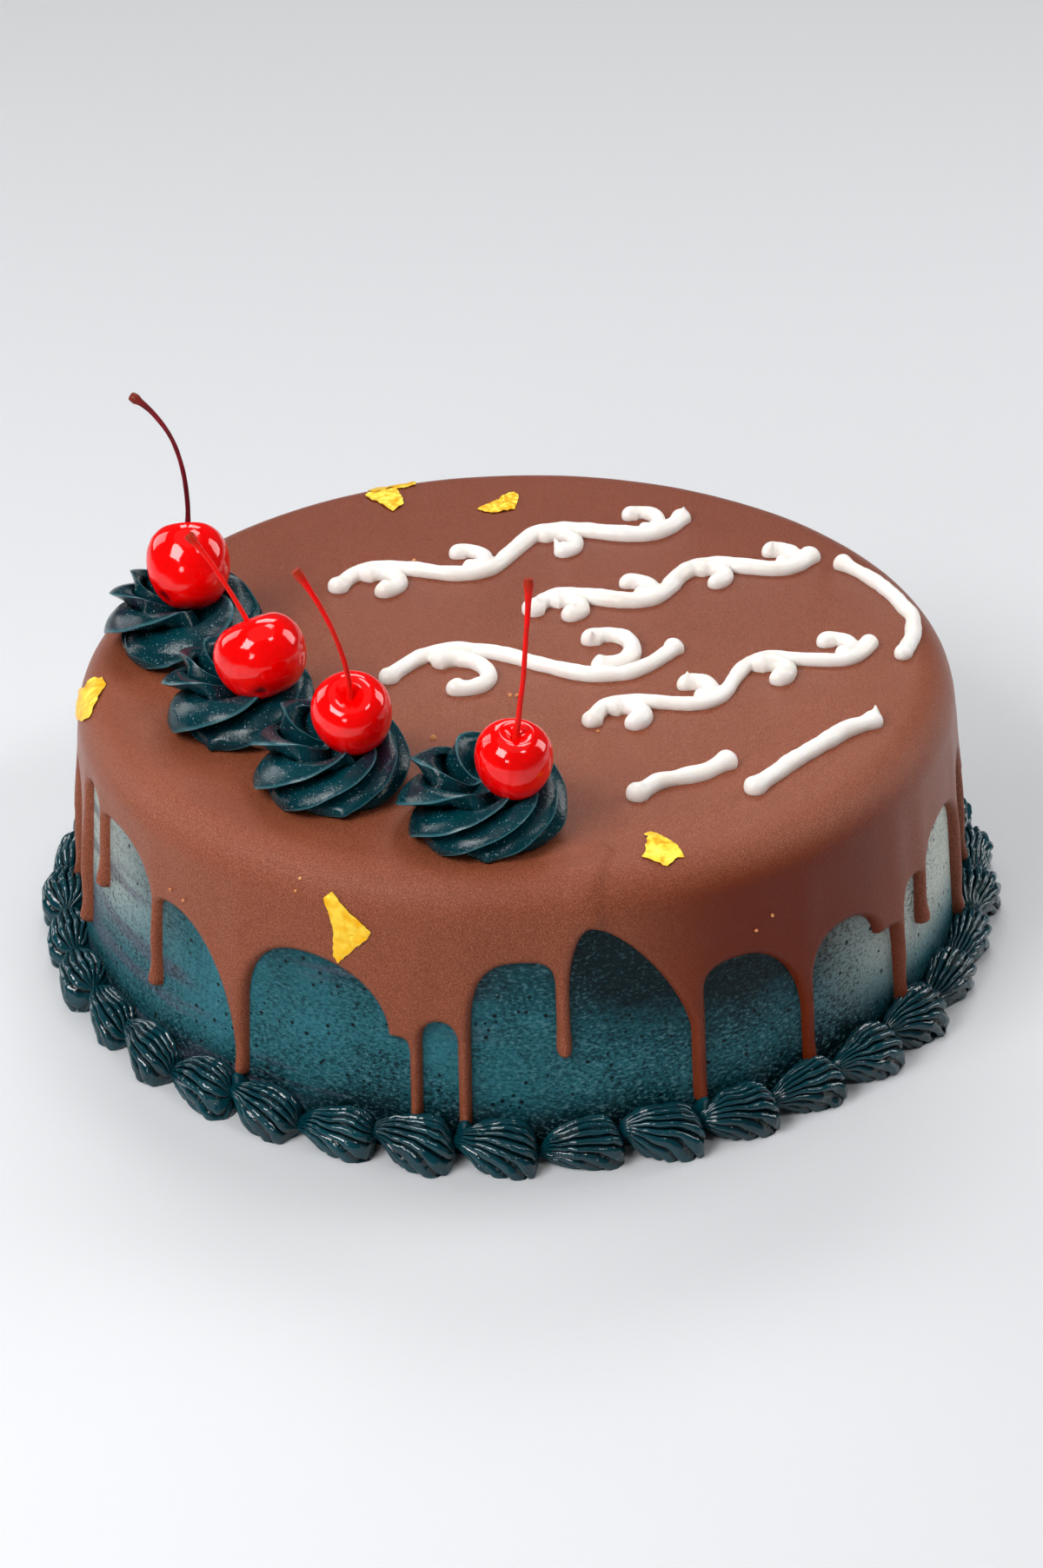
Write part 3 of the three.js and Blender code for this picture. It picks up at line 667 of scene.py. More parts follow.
def fill_outline(inner_points):
    """Triangles over the outline and the points in it, seen as a disc from above"""
    everything = np.concatenate([outline, inner_points])
    turn = everything[:, 0] / PER_DEGREE * math.pi / 180
    reach = FLAT_RADIUS + everything[:, 1]
    disc = [Vector(pair) for pair in np.stack([reach * np.sin(turn), -reach * np.cos(turn)], -1)]
    loop = list(range(len(outline)))
    _, _, faces, sources, *_ = delaunay_2d_cdt(disc, [], [loop], 1, NEAREST)
    return everything, [[sources[corner][0] for corner in face] for face in faces]


# The outside of the sheet: close rings along its edge, then a grid, coarser on the flat top
rings_inside = []
for inset in EDGE_INSETS:
    ring = outline + inset * inward(outline)
    rings_inside += [point for point in ring if depth_inside(point) > 0.93 * inset]
lowest = outline[:, 1].max()
highest = outline[:, 1].min()
wall_grid = [
    point for point in grid_points(GLAZE_GRID, -6, lowest)
    if point[1] < highest - 4 or depth_inside(point) > 2.4
]
outer_inside = np.concatenate([rings_inside, wall_grid, top_points(TOP_GRID, -7)])
outer, outer_faces = fill_outline(outer_inside)

depth = np.concatenate([np.zeros(len(outline)), [
    EDGE_ROUND if point[1] < highest - 4 else depth_inside(point) for point in outer_inside
]])
angle = outer[:, 0] / PER_DEGREE
flat_places = on_body(angle, outer[:, 1], 0.0)
height = flat_places[:, 2]
# The sheet gets fuller down the wall, with a low ridge down each drip and a bead at its tip.
fullness = GLAZE_LIFT + (DRIP_LIFT - GLAZE_LIFT) * ease((58 - height) / 22)
for drip in drips:
    apart = (angle - drip["at"] + 180) % 360 - 180
    across = np.exp(-0.5 * (apart * PER_DEGREE / DRIP_SPREAD) ** 2)
    above_tip = height - drip["tip"]
    bead = np.exp(-0.5 * ((above_tip - DRIP_BEAD_SIZE) / DRIP_BEAD_SIZE) ** 2)
    fullness += DRIP_RIDGE * across * ease((76 - height) / 16) * ease((above_tip - 8) / 10)
    fullness += DRIP_BEAD * across * bead
# A faint crease runs from the front rosette over the rim to the top of the arch at its right. It is
# given by distances down the surface and angles, and its right side is the steeper one.
apart = (angle - np.interp(outer[:, 1], [-26, -4, 8, 16], [4.5, 12, 8.6, 8.8])) * PER_DEGREE
crease = np.exp(-0.5 * (apart / np.where(apart < 0, *CREASE_SPREAD)) ** 2)
fullness += CREASE_LIFT * crease * ease((outer[:, 1] + 28) / 18)
fullness += 0.1 * waves(flat_places, 26, 4) + 0.05 * waves(flat_places, 9, 5)
rounded = np.sqrt(1 - (1 - np.clip(depth / EDGE_ROUND, 0, 1)) ** 2)
outer_points = on_body(angle, outer[:, 1], -RIM_SINK + (fullness + RIM_SINK) * rounded)

# The underside lies just in the frosting and shares the outline's points.
inner_inside = np.concatenate([
    [point for point in grid_points(UNDERSIDE_GRID, -2, lowest) if depth_inside(point) > 2],
    top_points(UNDERSIDE_TOP_GRID, -6),
])
inner, inner_faces = fill_outline(inner_inside)
inner_points = on_body(inner[:, 0] / PER_DEGREE, inner[:, 1], -RIM_SINK)
shift = len(outer_points) - len(outline)
inner_faces = [
    [corner if corner < len(outline) else corner + shift for corner in reversed(face)]
    for face in inner_faces
]
glaze_points = np.concatenate([outer_points, inner_points[len(outline):]])


def add_piece(name, data):
    """A piece made of a mesh or a curve, and chosen for the operators"""
    piece = bpy.data.objects.new(name, data)
    bpy.context.collection.objects.link(piece)
    bpy.context.view_layer.objects.active = piece
    piece.select_set(True)
    return piece


def add_sheet(name, points, faces):
    """A piece made of points and faces, with the faces turned outwards"""
    mesh = bpy.data.meshes.new(name)
    mesh.from_pydata((points * MM).tolist(), [], faces)
    piece = add_piece(name, mesh)
    face_outwards()
    return piece


glaze = add_sheet("chocolate_glaze_sheet", glaze_points, outer_faces + inner_faces)
shade_smooth(65)

# Fine grain of a soft fat surface: small specks in the colour and in the height.
grain_group, entry, leave = new_group(
    "fine_grain",
    {"Grain Scale": 2200, "Cloud Scale": 25},
    {"Grain": "NodeSocketFloat", "Clouds": "NodeSocketFloat"},
)
place = object_place(grain_group)
grain_group.links.new(noise_value(place, entry["Grain Scale"], 1), leave["Grain"])
clouds = noise_value(place, entry["Cloud Scale"], 5, distortion=0.6)
grain_group.links.new(clouds, leave["Clouds"])

chocolate, tree, shader = new_material(
    "milk_chocolate_glaze", Roughness=0.31, Specular_IOR_Level=0.2,
)
surface = add_group(tree, grain_group, Grain_Scale=2900, Cloud_Scale=22)
specks = ramp(surface["Grain"], (0.36, COCOA_DARK), (0.5, COCOA), (0.64, COCOA_PALE))
clouded = ramp(surface["Clouds"], (0.3, COCOA_CLOUD), (0.62, COCOA))
chocolate_colour = blend_colour(CLOUD_SHARE, specks, clouded)
# Painted shade on the wall at the front right, and towards the back of the top
x, y, z = object_axes(tree)
right = times(fade(x, 0.015, 0.06), fade(x, 0.118, 0.09))
front_right = times(right, fade(z, 0.08, 0.07), fade(y, 0.0, -0.05))
back = times(fade(y, -0.05, 0.09, 0, 0.45), fade(z, 0.07, 0.078))
dimmed = blend_colour(plus(front_right, back), chocolate_colour, COCOA_PAINTED_SHADE)
set_surface(shader, dimmed, surface["Grain"], 1.0, 0.22)
finish_piece(glaze, chocolate, "chocolate_glaze", "chocolate_glaze")

# ---- White piping ---------------------------------------------------------------------------------
# Stiff white buttercream piped by hand through a small round nozzle: four waving lines with curled
# tendrils, two loose strokes below them, and a long one round the rim. The bead swells and thins
# with the pressure on the bag, ends in blobs, and some ends are pulled up to a little peak.
BEAD_RADIUS = 2.65
BEAD_RANGE = (0.88, 1.08)
BEAD_LIFT = 0.75
BEAD_UNEVEN = 0.16
BEAD_STEP = 0.6
BLOB = 1.3
BLOB_PLACE = 2.6
BLOB_SPREAD = 2.2
ROUTE_WOBBLE = 0.5
HEIGHT_WOBBLE = 0.25
VINE_ROUNDS = 2
STROKE_ROUNDS = 10
REMESH_SIZE = 0.5
SMOOTHING = 2
PEAK_REACH = (0.5, 4.6)
PEAK_RADII = (1.7, 0.25)
TENDRIL_TURN = (60, 330)
TENDRIL_REACH = 0.38
TENDRIL_CLOSING = 0.0039
TENDRIL_SINK = 0.35
PEAK_EVERY = 3
CREAM = (0.92, 0.89, 0.85, 1)
CREAM_SHADE = (0.84, 0.79, 0.72, 1)

vines = [
    dict(start=(-54, 40), end=(54, 86), count=2, height=8),
    dict(start=(4, 22), end=(92, 58), count=2, height=6.5),
    dict(start=(-38, -16), end=(48, 2), count=1, height=13),
    dict(start=(20, -44), end=(104, 2), count=2, height=6.5),
]
loose_strokes = [
    [(62, -82), (76, -66), (90, -52), (102, -44)],
    [(30, -84), (38, -76), (50, -72), (60, -64)],
    [(98, 52), (110, 36), (116.5, 16), (116, 2), (111, -10)],
]


def on_glaze(x, y, lift):
    """Points on top of the glaze, from their place seen from above"""
    x, y = np.asarray(x, float), np.asarray(y, float)
    return on_body(np.degrees(np.arctan2(x, -y)), np.hypot(x, y) - FLAT_RADIUS, GLAZE_LIFT + lift)


def vine_routes(start, end, count, height):
    """A line of some whole waves seen from above, and the curled tendril under each half wave"""
    start, end = np.array(start, float), np.array(end, float)
    length = np.linalg.norm(end - start)
    ahead = (end - start) / length
    side = np.array([-ahead[1], ahead[0]])
    half_wave = length / count / 2
    along = np.linspace(0, length, 80)
    swing = height * np.sin(math.pi * along / half_wave)
    routes = [start + np.outer(along, ahead) + np.outer(swing, side)]
    turned = np.linspace(*TENDRIL_TURN, 40)
    reach = TENDRIL_REACH * half_wave * np.exp(-TENDRIL_CLOSING * turned)
    facing = np.radians(180 - turned)
    for number in range(2 * count):
        up = 1 if number % 2 == 0 else -1
        offset = up * (reach * np.sin(facing) - TENDRIL_SINK * height)
        distance = (number + 0.5) * half_wave + reach * np.cos(facing)
        routes.append(start + np.outer(distance, ahead) + np.outer(offset, side))
    return routes


def smooth_route(points, step, rounds):
    """An open line through the points, evenly spaced, its corners rounded off in so many rounds"""
    points = resample(np.array(points, float), step)
    for _ in range(rounds):
        points[1:-1] = 0.25 * points[:-2] + 0.5 * points[1:-1] + 0.25 * points[2:]
    return points


def add_rope(name, lines, sides=5):
    """One mesh of round ropes; each line is its points and their radii"""
    curve = bpy.data.curves.new(name, "CURVE")
    curve.dimensions = "3D"
    curve.bevel_depth = MM
    curve.bevel_resolution = sides
    curve.use_fill_caps = True
    for points, radii in lines:
        spline = curve.splines.new("POLY")
        spline.points.add(len(points) - 1)
        for target, point, radius in zip(spline.points, points, radii):
            target.co = (*(point * MM), 1)
            target.radius = radius
    add_piece(name, curve)
    bpy.ops.object.convert(target="MESH")
    return bpy.context.object


def wander(points, size, *seeds):
    """A noise for each axis, from one seed for each"""
    return np.stack([waves(points, size, seed) for seed in seeds], -1)


def bead_radii(points, radius, seed):
    """Radii along a bead, with a round blob at both ends"""
    along = np.concatenate([[0], np.cumsum(np.linalg.norm(np.diff(points, axis=0), axis=1))])
    from_end = np.minimum(along, along[-1] - along)
    radii = radius * (1 + BEAD_UNEVEN * waves(points, 7, seed) + 0.07 * waves(points, 2.5, seed + 1))
    radii *= 1 + (BLOB - 1) * np.exp(-((from_end - BLOB_PLACE) / BLOB_SPREAD) ** 2)
    tip = np.clip(from_end / (radius * BLOB), 0, 1)
    return radii * np.sqrt(np.maximum(1 - (1 - tip) ** 2, 0.004))


vine_lines = [line for vine in vines for line in vine_routes(**vine)]
routes = [smooth_route(line, BEAD_STEP, VINE_ROUNDS) for line in vine_lines]
routes += [smooth_route(stroke, BEAD_STEP, STROKE_ROUNDS) for stroke in loose_strokes]
beads = []
for number, route in enumerate(routes):
    points = on_glaze(*(route + ROUTE_WOBBLE * wander(route, 9, number, number + 40)).T, BEAD_LIFT)
    points[:, 2] += HEIGHT_WOBBLE * waves(points, 6, number)
    radius = BEAD_RADIUS * draw(number + 400, *BEAD_RANGE)
    beads.append((points, bead_radii(points, radius, number)))
    if number % PEAK_EVERY == 0:
        top = points[-4]
        lean = Vector((draw(number + 410, -0.5, 0.5), draw(number + 420, -0.5, 0.5), 1)).normalized()
        rise = np.array([top + np.array(lean) * reach for reach in np.linspace(*PEAK_REACH, 7)])
        beads.append((rise, np.linspace(*PEAK_RADII, 7)))


def apply_modifier(piece, kind, **settings):
    """Changes the mesh of the chosen piece by a modifier."""
    bpy.ops.object.modifier_add(type=kind)
    for name, value in settings.items():
        setattr(piece.modifiers[-1], name, value)
    bpy.ops.object.modifier_apply(modifier=piece.modifiers[-1].name)


# The ropes are melted into one skin.
piping = add_rope("white_piping", beads)
apply_modifier(piping, "REMESH", mode="VOXEL", voxel_size=REMESH_SIZE * MM)
apply_modifier(piping, "SMOOTH", iterations=SMOOTHING)
bpy.ops.object.shade_smooth()

white_cream, tree, shader = new_material(
    "white_buttercream", Roughness=0.38, Subsurface_Weight=0.15, Subsurface_Scale=0.002,
)
surface = add_group(tree, frosting, Peel_Scale=900, Pit_Scale=260, Patch_Scale=60)
cream = ramp(surface["Patches"], (0.3, CREAM_SHADE), (0.6, CREAM))
set_surface(shader, cream, surface["Height"], 0.25, 0.15)
finish_piece(piping, white_cream, "white_icing", "chocolate_glaze")

# ---- Gold leaf ------------------------------------------------------------------------------------
# Flakes of edible gold leaf torn by hand and laid on the soft glaze: bright, thinner than paper, and
# crumpled into sharp little folds.
LEAF_GRID = 0.7
LEAF_SPAN = FLAT_RADIUS + 6
LEAF_LIFT = 0.3
LEAF_CRUMPLE = 0.45
LEAF_THICKNESS = 0.1
LEAF_RAGGED = 0.28
GRID_JITTER = 0.4
GOLD = (1.0, 0.68, 0.06, 1)
GOLD_SHADE = (0.95, 0.44, 0.0, 1)

# Place round the cake in degrees, place down from the edge of the top, and the torn outline about it
leaf_flakes = [
    (-21.7, 20.1, [
        (-2.9, -9.6), (-0.2, -7.4), (3.7, -4.5), (7.9, -1.0), (6.8, 1.5), (3.5, 4.8), (0.5, 8.3),
        (-1.0, 10.2), (-2.3, 8.2), (-2.3, 3.9), (-2.1, 0.7), (-2.9, -2.3), (-3.8, -4.8), (-5.0, -7.8),
    ]),
    (18.9, -0.6, [
        (1.0, -8.6), (2.3, -6.9), (3.4, -4.4), (5.0, 0.2), (4.8, 2.5), (4.8, 4.6), (3.1, 4.2), (1.4, 4.8),
        (0.2, 5.3), (-0.7, 5.7), (-2.6, 4.3), (-4.7, 3.0), (-6.4, 1.9), (-4.7, 0.3), (-3.9, -2.0),
        (-1.3, -6.3), (-1.9, -8.0),
    ]),
    (-85.0, 8.7, [
        (-3.0, -5.4), (1.9, -6.3), (5.9, -5.0), (9.3, -3.7), (12.3, -2.2), (14.4, -1.0), (11.6, 1.7),
        (4.0, 4.9), (-6.6, 9.2), (-11.3, 9.0), (-9.0, 5.6), (-11.7, 4.3), (-4.1, -0.1), (-6.6, -1.0),
        (-5.3, -3.1),
    ]),
    (-159.1, -5.3, [
        (5.8, 5.0), (1.8, 7.3), (-2.0, 6.7), (-5.6, 5.7), (-5.4, -0.8), (-4.6, -4.9), (-2.9, -6.5),
        (1.4, -8.8), (2.6, -4.9), (3.7, -0.6), (5.2, 1.9),
    ]),
    (-178.0, -18.1, [
        (9.6, -2.9), (6.8, -0.2), (2.1, 1.4), (-1.9, 6.2), (-5.1, 8.4), (-7.2, 5.4), (-6.8, 1.3),
        (-5.7, -3.7), (-1.5, -5.0), (2.8, -6.2), (6.8, -4.8),
    ]),
    (-161.5, 4.6, [
        (-7.6, -3.4), (-3.2, -4.6), (1.6, -3.3), (7.4, -4.4), (8.0, -1.2), (6.2, 3.1), (0.4, 4.4),
        (-4.9, 3.7), (-8.4, 0.4),
    ]),
]

gold, tree, shader = new_material("gold_leaf", Metallic=0.3, Roughness=0.35, Specular_IOR_Level=0.2)
surface = add_group(tree, frosting, Peel_Scale=600, Pit_Scale=300, Patch_Scale=300)
foil = ramp(surface["Patches"], (0.35, GOLD_SHADE), (0.6, GOLD))
set_surface(shader, foil, surface["Height"], 0.5, 0.3)

for number, (angle_at, down_from_edge, corners) in enumerate(leaf_flakes):
    corners = np.array(corners + corners[:1], float)
    edge = resample(corners, 0.5)[:-1]
    edge = edge + LEAF_RAGGED * wander(edge, 1.3, number + 50, number + 60)
    low, high = edge.min(axis=0), edge.max(axis=0)
    grid = [
        (
            across + GRID_JITTER * draw(200 * across + downward),
            downward + GRID_JITTER * draw(90 * across - downward),
        )
        for across in np.arange(low[0], high[0], LEAF_GRID)
        for downward in np.arange(low[1], high[1], LEAF_GRID)
    ]
    spread = [Vector(pair) for pair in list(edge) + grid]
    places, _, faces, *_ = delaunay_2d_cdt(spread, [], [list(range(len(edge)))], 1, NEAREST)
    flat = np.array(places)
    crumple = np.abs(waves(flat, 3.2, number + 70)) * 1.6 + 0.5 * np.abs(waves(flat, 1.2, number + 80))
    lift = GLAZE_LIFT + LEAF_LIFT + LEAF_CRUMPLE * crumple
    points = on_body(angle_at + np.degrees(flat[:, 0] / LEAF_SPAN), down_from_edge + flat[:, 1], lift)
    leaf = add_sheet(f"gold_leaf_{number + 1}", points, faces)
    apply_modifier(leaf, "SOLIDIFY", thickness=LEAF_THICKNESS * MM)
    shade_smooth(25)
    finish_piece(leaf, gold, "gold_leaf", "chocolate_glaze")

# ---- Rosettes -------------------------------------------------------------------------------------
# Four swirls of dark teal, almost black buttercream, each piped in one turn through a big open star
# nozzle, so that seven thin folds wind up and round it into the hollow where a cherry sits. The folds
# have a sharp edge with a deep shadow under it, and one ends in a small spur where the rope began.
ROSETTE_BASE = 81.5
ROSETTE_HEIGHT = 18.0
ROSETTE_RIDGES = 7
ROSETTE_TWIST = 180
ROSETTE_COLUMNS = 320
ROSETTE_ROWS = 72
ROSETTE_SMOOTHING = 60
TWIST_STARTS = 0.28
FOLD_DEPTH = 0.3
FOLD_STEP = 0.06
FOLD_UNEVEN = 0.055
FOLD_DEPTHS = (0.75, 1.2)
ROSETTE_SWELL = 0.55
SPUR_REACH = 0.07
SPUR_SPREAD = 4.5
CREST_SIDE = 143
CREST_LIFT = 0.13
DARK_TEAL = (0.0, 0.02, 0.028, 1)
DARK_TEAL_LIGHT = (0.001, 0.038, 0.05, 1)
DARK_PLUM = (0.02, 0.012, 0.028, 1)
FOLD_SHADOW = (0.0, 0.002, 0.003, 1)
FOLD_EDGE_HIGHLIGHT = (0.08, 0.24, 0.28, 1)
PAINTED_SPARKLE = (0.4, 0.55, 0.6, 1)

rosettes = [
    dict(at=(-96.6, 13.3), radius=23.3, turn=10, spur=262),
    dict(at=(-78.1, -33.7), radius=22.0, turn=25, spur=250),
    dict(at=(-51.2, -69.4), radius=22.3, turn=0, spur=281),
    dict(at=(-9.5, -92.7), radius=23.0, turn=15, spur=272),
]
# Radius and height shares, from the middle underneath, over the crest, into the hollow
rosette_profile = [
    (0, 0), (0.88, 0), (1, 0.2), (1, 0.48), (0.93, 0.74), (0.78, 0.94), (0.58, 1), (0.38, 0.88),
    (0.18, 0.76), (0, 0.72),
]


def dense_profile(knots, rows, rounds):
    """A smoothed profile in so many even steps, and its outward directions"""
    line = resample(smooth_route(knots, 0.01, rounds), count=rows)
    ahead = np.gradient(line, axis=0)
    outward = np.stack([ahead[:, 1], -ahead[:, 0]], -1)
    return line, outward / np.linalg.norm(outward, axis=1, keepdims=True)


def kept_depth(tree):
    """The number that keep_depth has stored"""
    return add_node(tree, "ShaderNodeAttribute", attribute_name="depth").outputs["Fac"]


dark_frosting, tree, shader = new_material("dark_frosting", Roughness=0.18, Specular_IOR_Level=0.26)
surface = add_group(tree, frosting, Peel_Scale=700, Pit_Scale=420, Patch_Scale=60)
dark = ramp(surface["Patches"], (0.32, DARK_PLUM), (0.42, DARK_TEAL), (0.64, DARK_TEAL_LIGHT))
# Painted glints: pale specks scattered in the colour
glints = noise_value(object_place(tree), 1700, 2, 0.6)
painted_sparkles = blend_colour(fade(glints, 0.66, 0.72, 0, 0.7), dark, PAINTED_SPARKLE)
# Painted shadow in the depth of the folds, and a painted highlight along their sharp edges
deep = kept_depth(tree)
shaded = blend_colour(fade(deep, 0.45, 1, 0, 0.9), painted_sparkles, FOLD_SHADOW)
edge_highlighted = blend_colour(fade(deep, 0.05, 0, 0, 0.4), shaded, FOLD_EDGE_HIGHLIGHT)
set_surface(shader, edge_highlighted, plus(surface["Height"], glints), 0.4, 0.2)

profile, profile_out = dense_profile(rosette_profile, ROSETTE_ROWS, ROSETTE_SMOOTHING)
first_row = ROSETTE_ROWS * TWIST_STARTS
for number, rosette in enumerate(rosettes):

    def rosette_points(round_share, along_share):
        """The swirl, whose columns of points wind up along with the folds"""
        row = np.rint(along_share * ROSETTE_ROWS).astype(int)
        climb = np.clip((row - first_row) / (ROSETTE_ROWS - first_row), 0, 1)
        facing = 360 * round_share + ROSETTE_TWIST * climb
        along_rope = ((360 * round_share - rosette["turn"]) / 360) % 1
        along_rope += FOLD_UNEVEN * np.sin(2 * math.pi * (along_rope + 0.13 * number))
        fold = (along_rope * ROSETTE_RIDGES) % ROSETTE_RIDGES
        which = np.floor(fold).astype(int)
        share = fold - which
        depths = [draw(20 * number + ridge + 500, *FOLD_DEPTHS) for ridge in range(ROSETTE_RIDGES)]
        hollow = ease(share / FOLD_STEP) * np.clip((1 - share) / (1 - FOLD_STEP), 0, 1) ** 1.4
        inside = ease(profile[row, 0] / 0.35) * ease((row - 2) / 6)
        deep = hollow * inside
        reach = profile[row] - profile_out[row] * (FOLD_DEPTH * np.array(depths)[which] * deep)[:, None]
        lift = 1 + CREST_LIFT * np.cos(np.radians(facing - CREST_SIDE)) * ease(profile[row, 0] / 0.3)
        spur = np.exp(-(((facing - rosette["spur"] + 180) % 360 - 180) / SPUR_SPREAD) ** 2)
        spur *= ease((0.4 - reach[:, 1]) / 0.3) * ease((reach[:, 0] - 0.6) / 0.2)
        radius = rosette["radius"] * (reach[:, 0] + SPUR_REACH * spur)
        x = rosette["at"][0] + radius * np.cos(np.radians(facing))
        y = rosette["at"][1] + radius * np.sin(np.radians(facing))
        z = ROSETTE_BASE + ROSETTE_HEIGHT * np.maximum(reach[:, 1], 0) * lift
        points = np.stack([x, y, z], -1)
        swell = wander(points, 9, number, number + 5, number + 9)
        return np.column_stack([points + ROSETTE_SWELL * swell * (row > 1)[:, None], deep])

    swirl = bend_grid(f"rosette_swirl_{number + 1}", ROSETTE_COLUMNS, ROSETTE_ROWS, rosette_points, 50)
    finish_piece(swirl, dark_frosting, "dark_frosting", f"rosette_{number + 1}")

# ---- Cherries -------------------------------------------------------------------------------------
# Four cocktail cherries, dyed bright red and wet with syrup. Each has a dimple where its stem comes
# out, and the first two show the dark scar left by the flower. The stems end in a brown torn knob.
CHERRY_COLUMNS = 96
CHERRY_ROWS = 64
CHERRY_SMOOTHING = 110
CHERRY_RED = (0.95, 0.0, 0.0, 1)
CHERRY_DEEP = (0.72, 0.0, 0.0, 1)
SCAR_COLOUR = (0.11, 0.0, 0.004, 1)
SCAR_SIZE = 2.3
SCAR_DEPTH = 0.9
DIMPLE_PLACE = 0.63
STEM_SINK = 0.6
STEM_POINTS = 48
STEM_RADIUS = 0.85
STEM_WOBBLE = 0.18
KNOB_BROWN = 5.5
STEM_BROWN = (0.2, 0.035, 0.01, 1)

cherries = [
    dict(centre=(-93.9, 14.8, 105), breadth=11.9, length=13.2, axis=(-0.08, 0.6, 0.8),
         scar=(-0.58, -0.7, -0.42), knee=(4.5, 6.6, 30), tip=(-14.4, 16.9, 37.9)),
    dict(centre=(-70.1, -39, 104), breadth=12.8, length=11.8, axis=(-0.33, 0.4, 0.86),
         scar=(0.02, -0.9, -0.42), knee=(-4.8, 3.2, 13.1), tip=(-16.6, 9, 26.2)),
    dict(centre=(-44.1, -72.3, 104), breadth=11.1, length=11.3, axis=(-0.02, -0.5, 0.86),
         scar=(0, 0.5, -0.87), knee=(1.1, -6, 21.8), tip=(-12.1, -2.9, 41.2)),
    dict(centre=(-0.9, -98.8, 104), breadth=10.5, length=10.5, axis=(0.08, -0.19, 0.98),
         scar=(0, 0, -1), knee=(3.8, -2.3, 25.6), tip=(4.5, 3.2, 46.1)),
]
# Shares of the half breadth and half length, from the far end to the dimple of the stem
cherry_profile = [
    (0, -0.93), (0.3, -0.93), (0.58, -0.83), (0.82, -0.58), (0.97, -0.22), (1.01, 0.1), (0.97, 0.42),
    (0.83, 0.7), (0.62, 0.88), (0.42, 0.94), (0.24, 0.87), (0.11, 0.74), (0, 0.66),
]
# Thickness of a stem at shares of its length: wide in the dimple, thin, then a knob
stem_share = [0, 0.04, 0.15, 0.6, 0.85, 0.93, 0.97, 1]
stem_thick = [1.5, 1.1, 0.85, 0.78, 0.95, 1.3, 1.85, 1.5]

cherry_skin, tree, shader = new_material(
    "cherry_skin", Roughness=0.08, Coat_Weight=0.1, Specular_IOR_Level=0.45, Subsurface_Weight=0.35,
    Subsurface_Scale=0.004, Subsurface_Radius=(1.0, 0.05, 0.03),
)
surface = add_group(tree, grain_group, Grain_Scale=900, Cloud_Scale=70)
skin = ramp(surface["Clouds"], (0.3, CHERRY_DEEP), (0.55, CHERRY_RED))
scarred = blend_colour(fade(kept_depth(tree), 0.2, 1, 0, 0.85), skin, SCAR_COLOUR)
set_surface(shader, scarred, surface["Grain"], 0.03, 0.05)

stem_skins = []
# The first stem is maroon and the others are red.
for name, low_colour, high_colour in (
    ("maroon_stem", (0.16, 0.004, 0.01, 1), (0.09, 0.004, 0.008, 1)),
    ("red_stem", (0.85, 0.004, 0.004, 1), (0.7, 0.01, 0.006, 1)),
):
    stem_skin, tree, shader = new_material(name, Roughness=0.3, Specular_IOR_Level=0.12)
    surface = add_group(tree, grain_group, Grain_Scale=1500, Cloud_Scale=150)
    stem_colour = ramp(surface["Clouds"], (0.4, low_colour), (0.6, high_colour))
    browned = blend_colour(times(kept_depth(tree), 0.85), stem_colour, STEM_BROWN)
    set_surface(shader, browned, surface["Clouds"], 0.3, 0.3)
    stem_skins.append(stem_skin)


def bend_line(share, first, second, third):
    """The line that sets out from the first point towards the second, and bends to the third"""
    return (1 - share) ** 2 * first + 2 * share * (1 - share) * second + share ** 2 * third


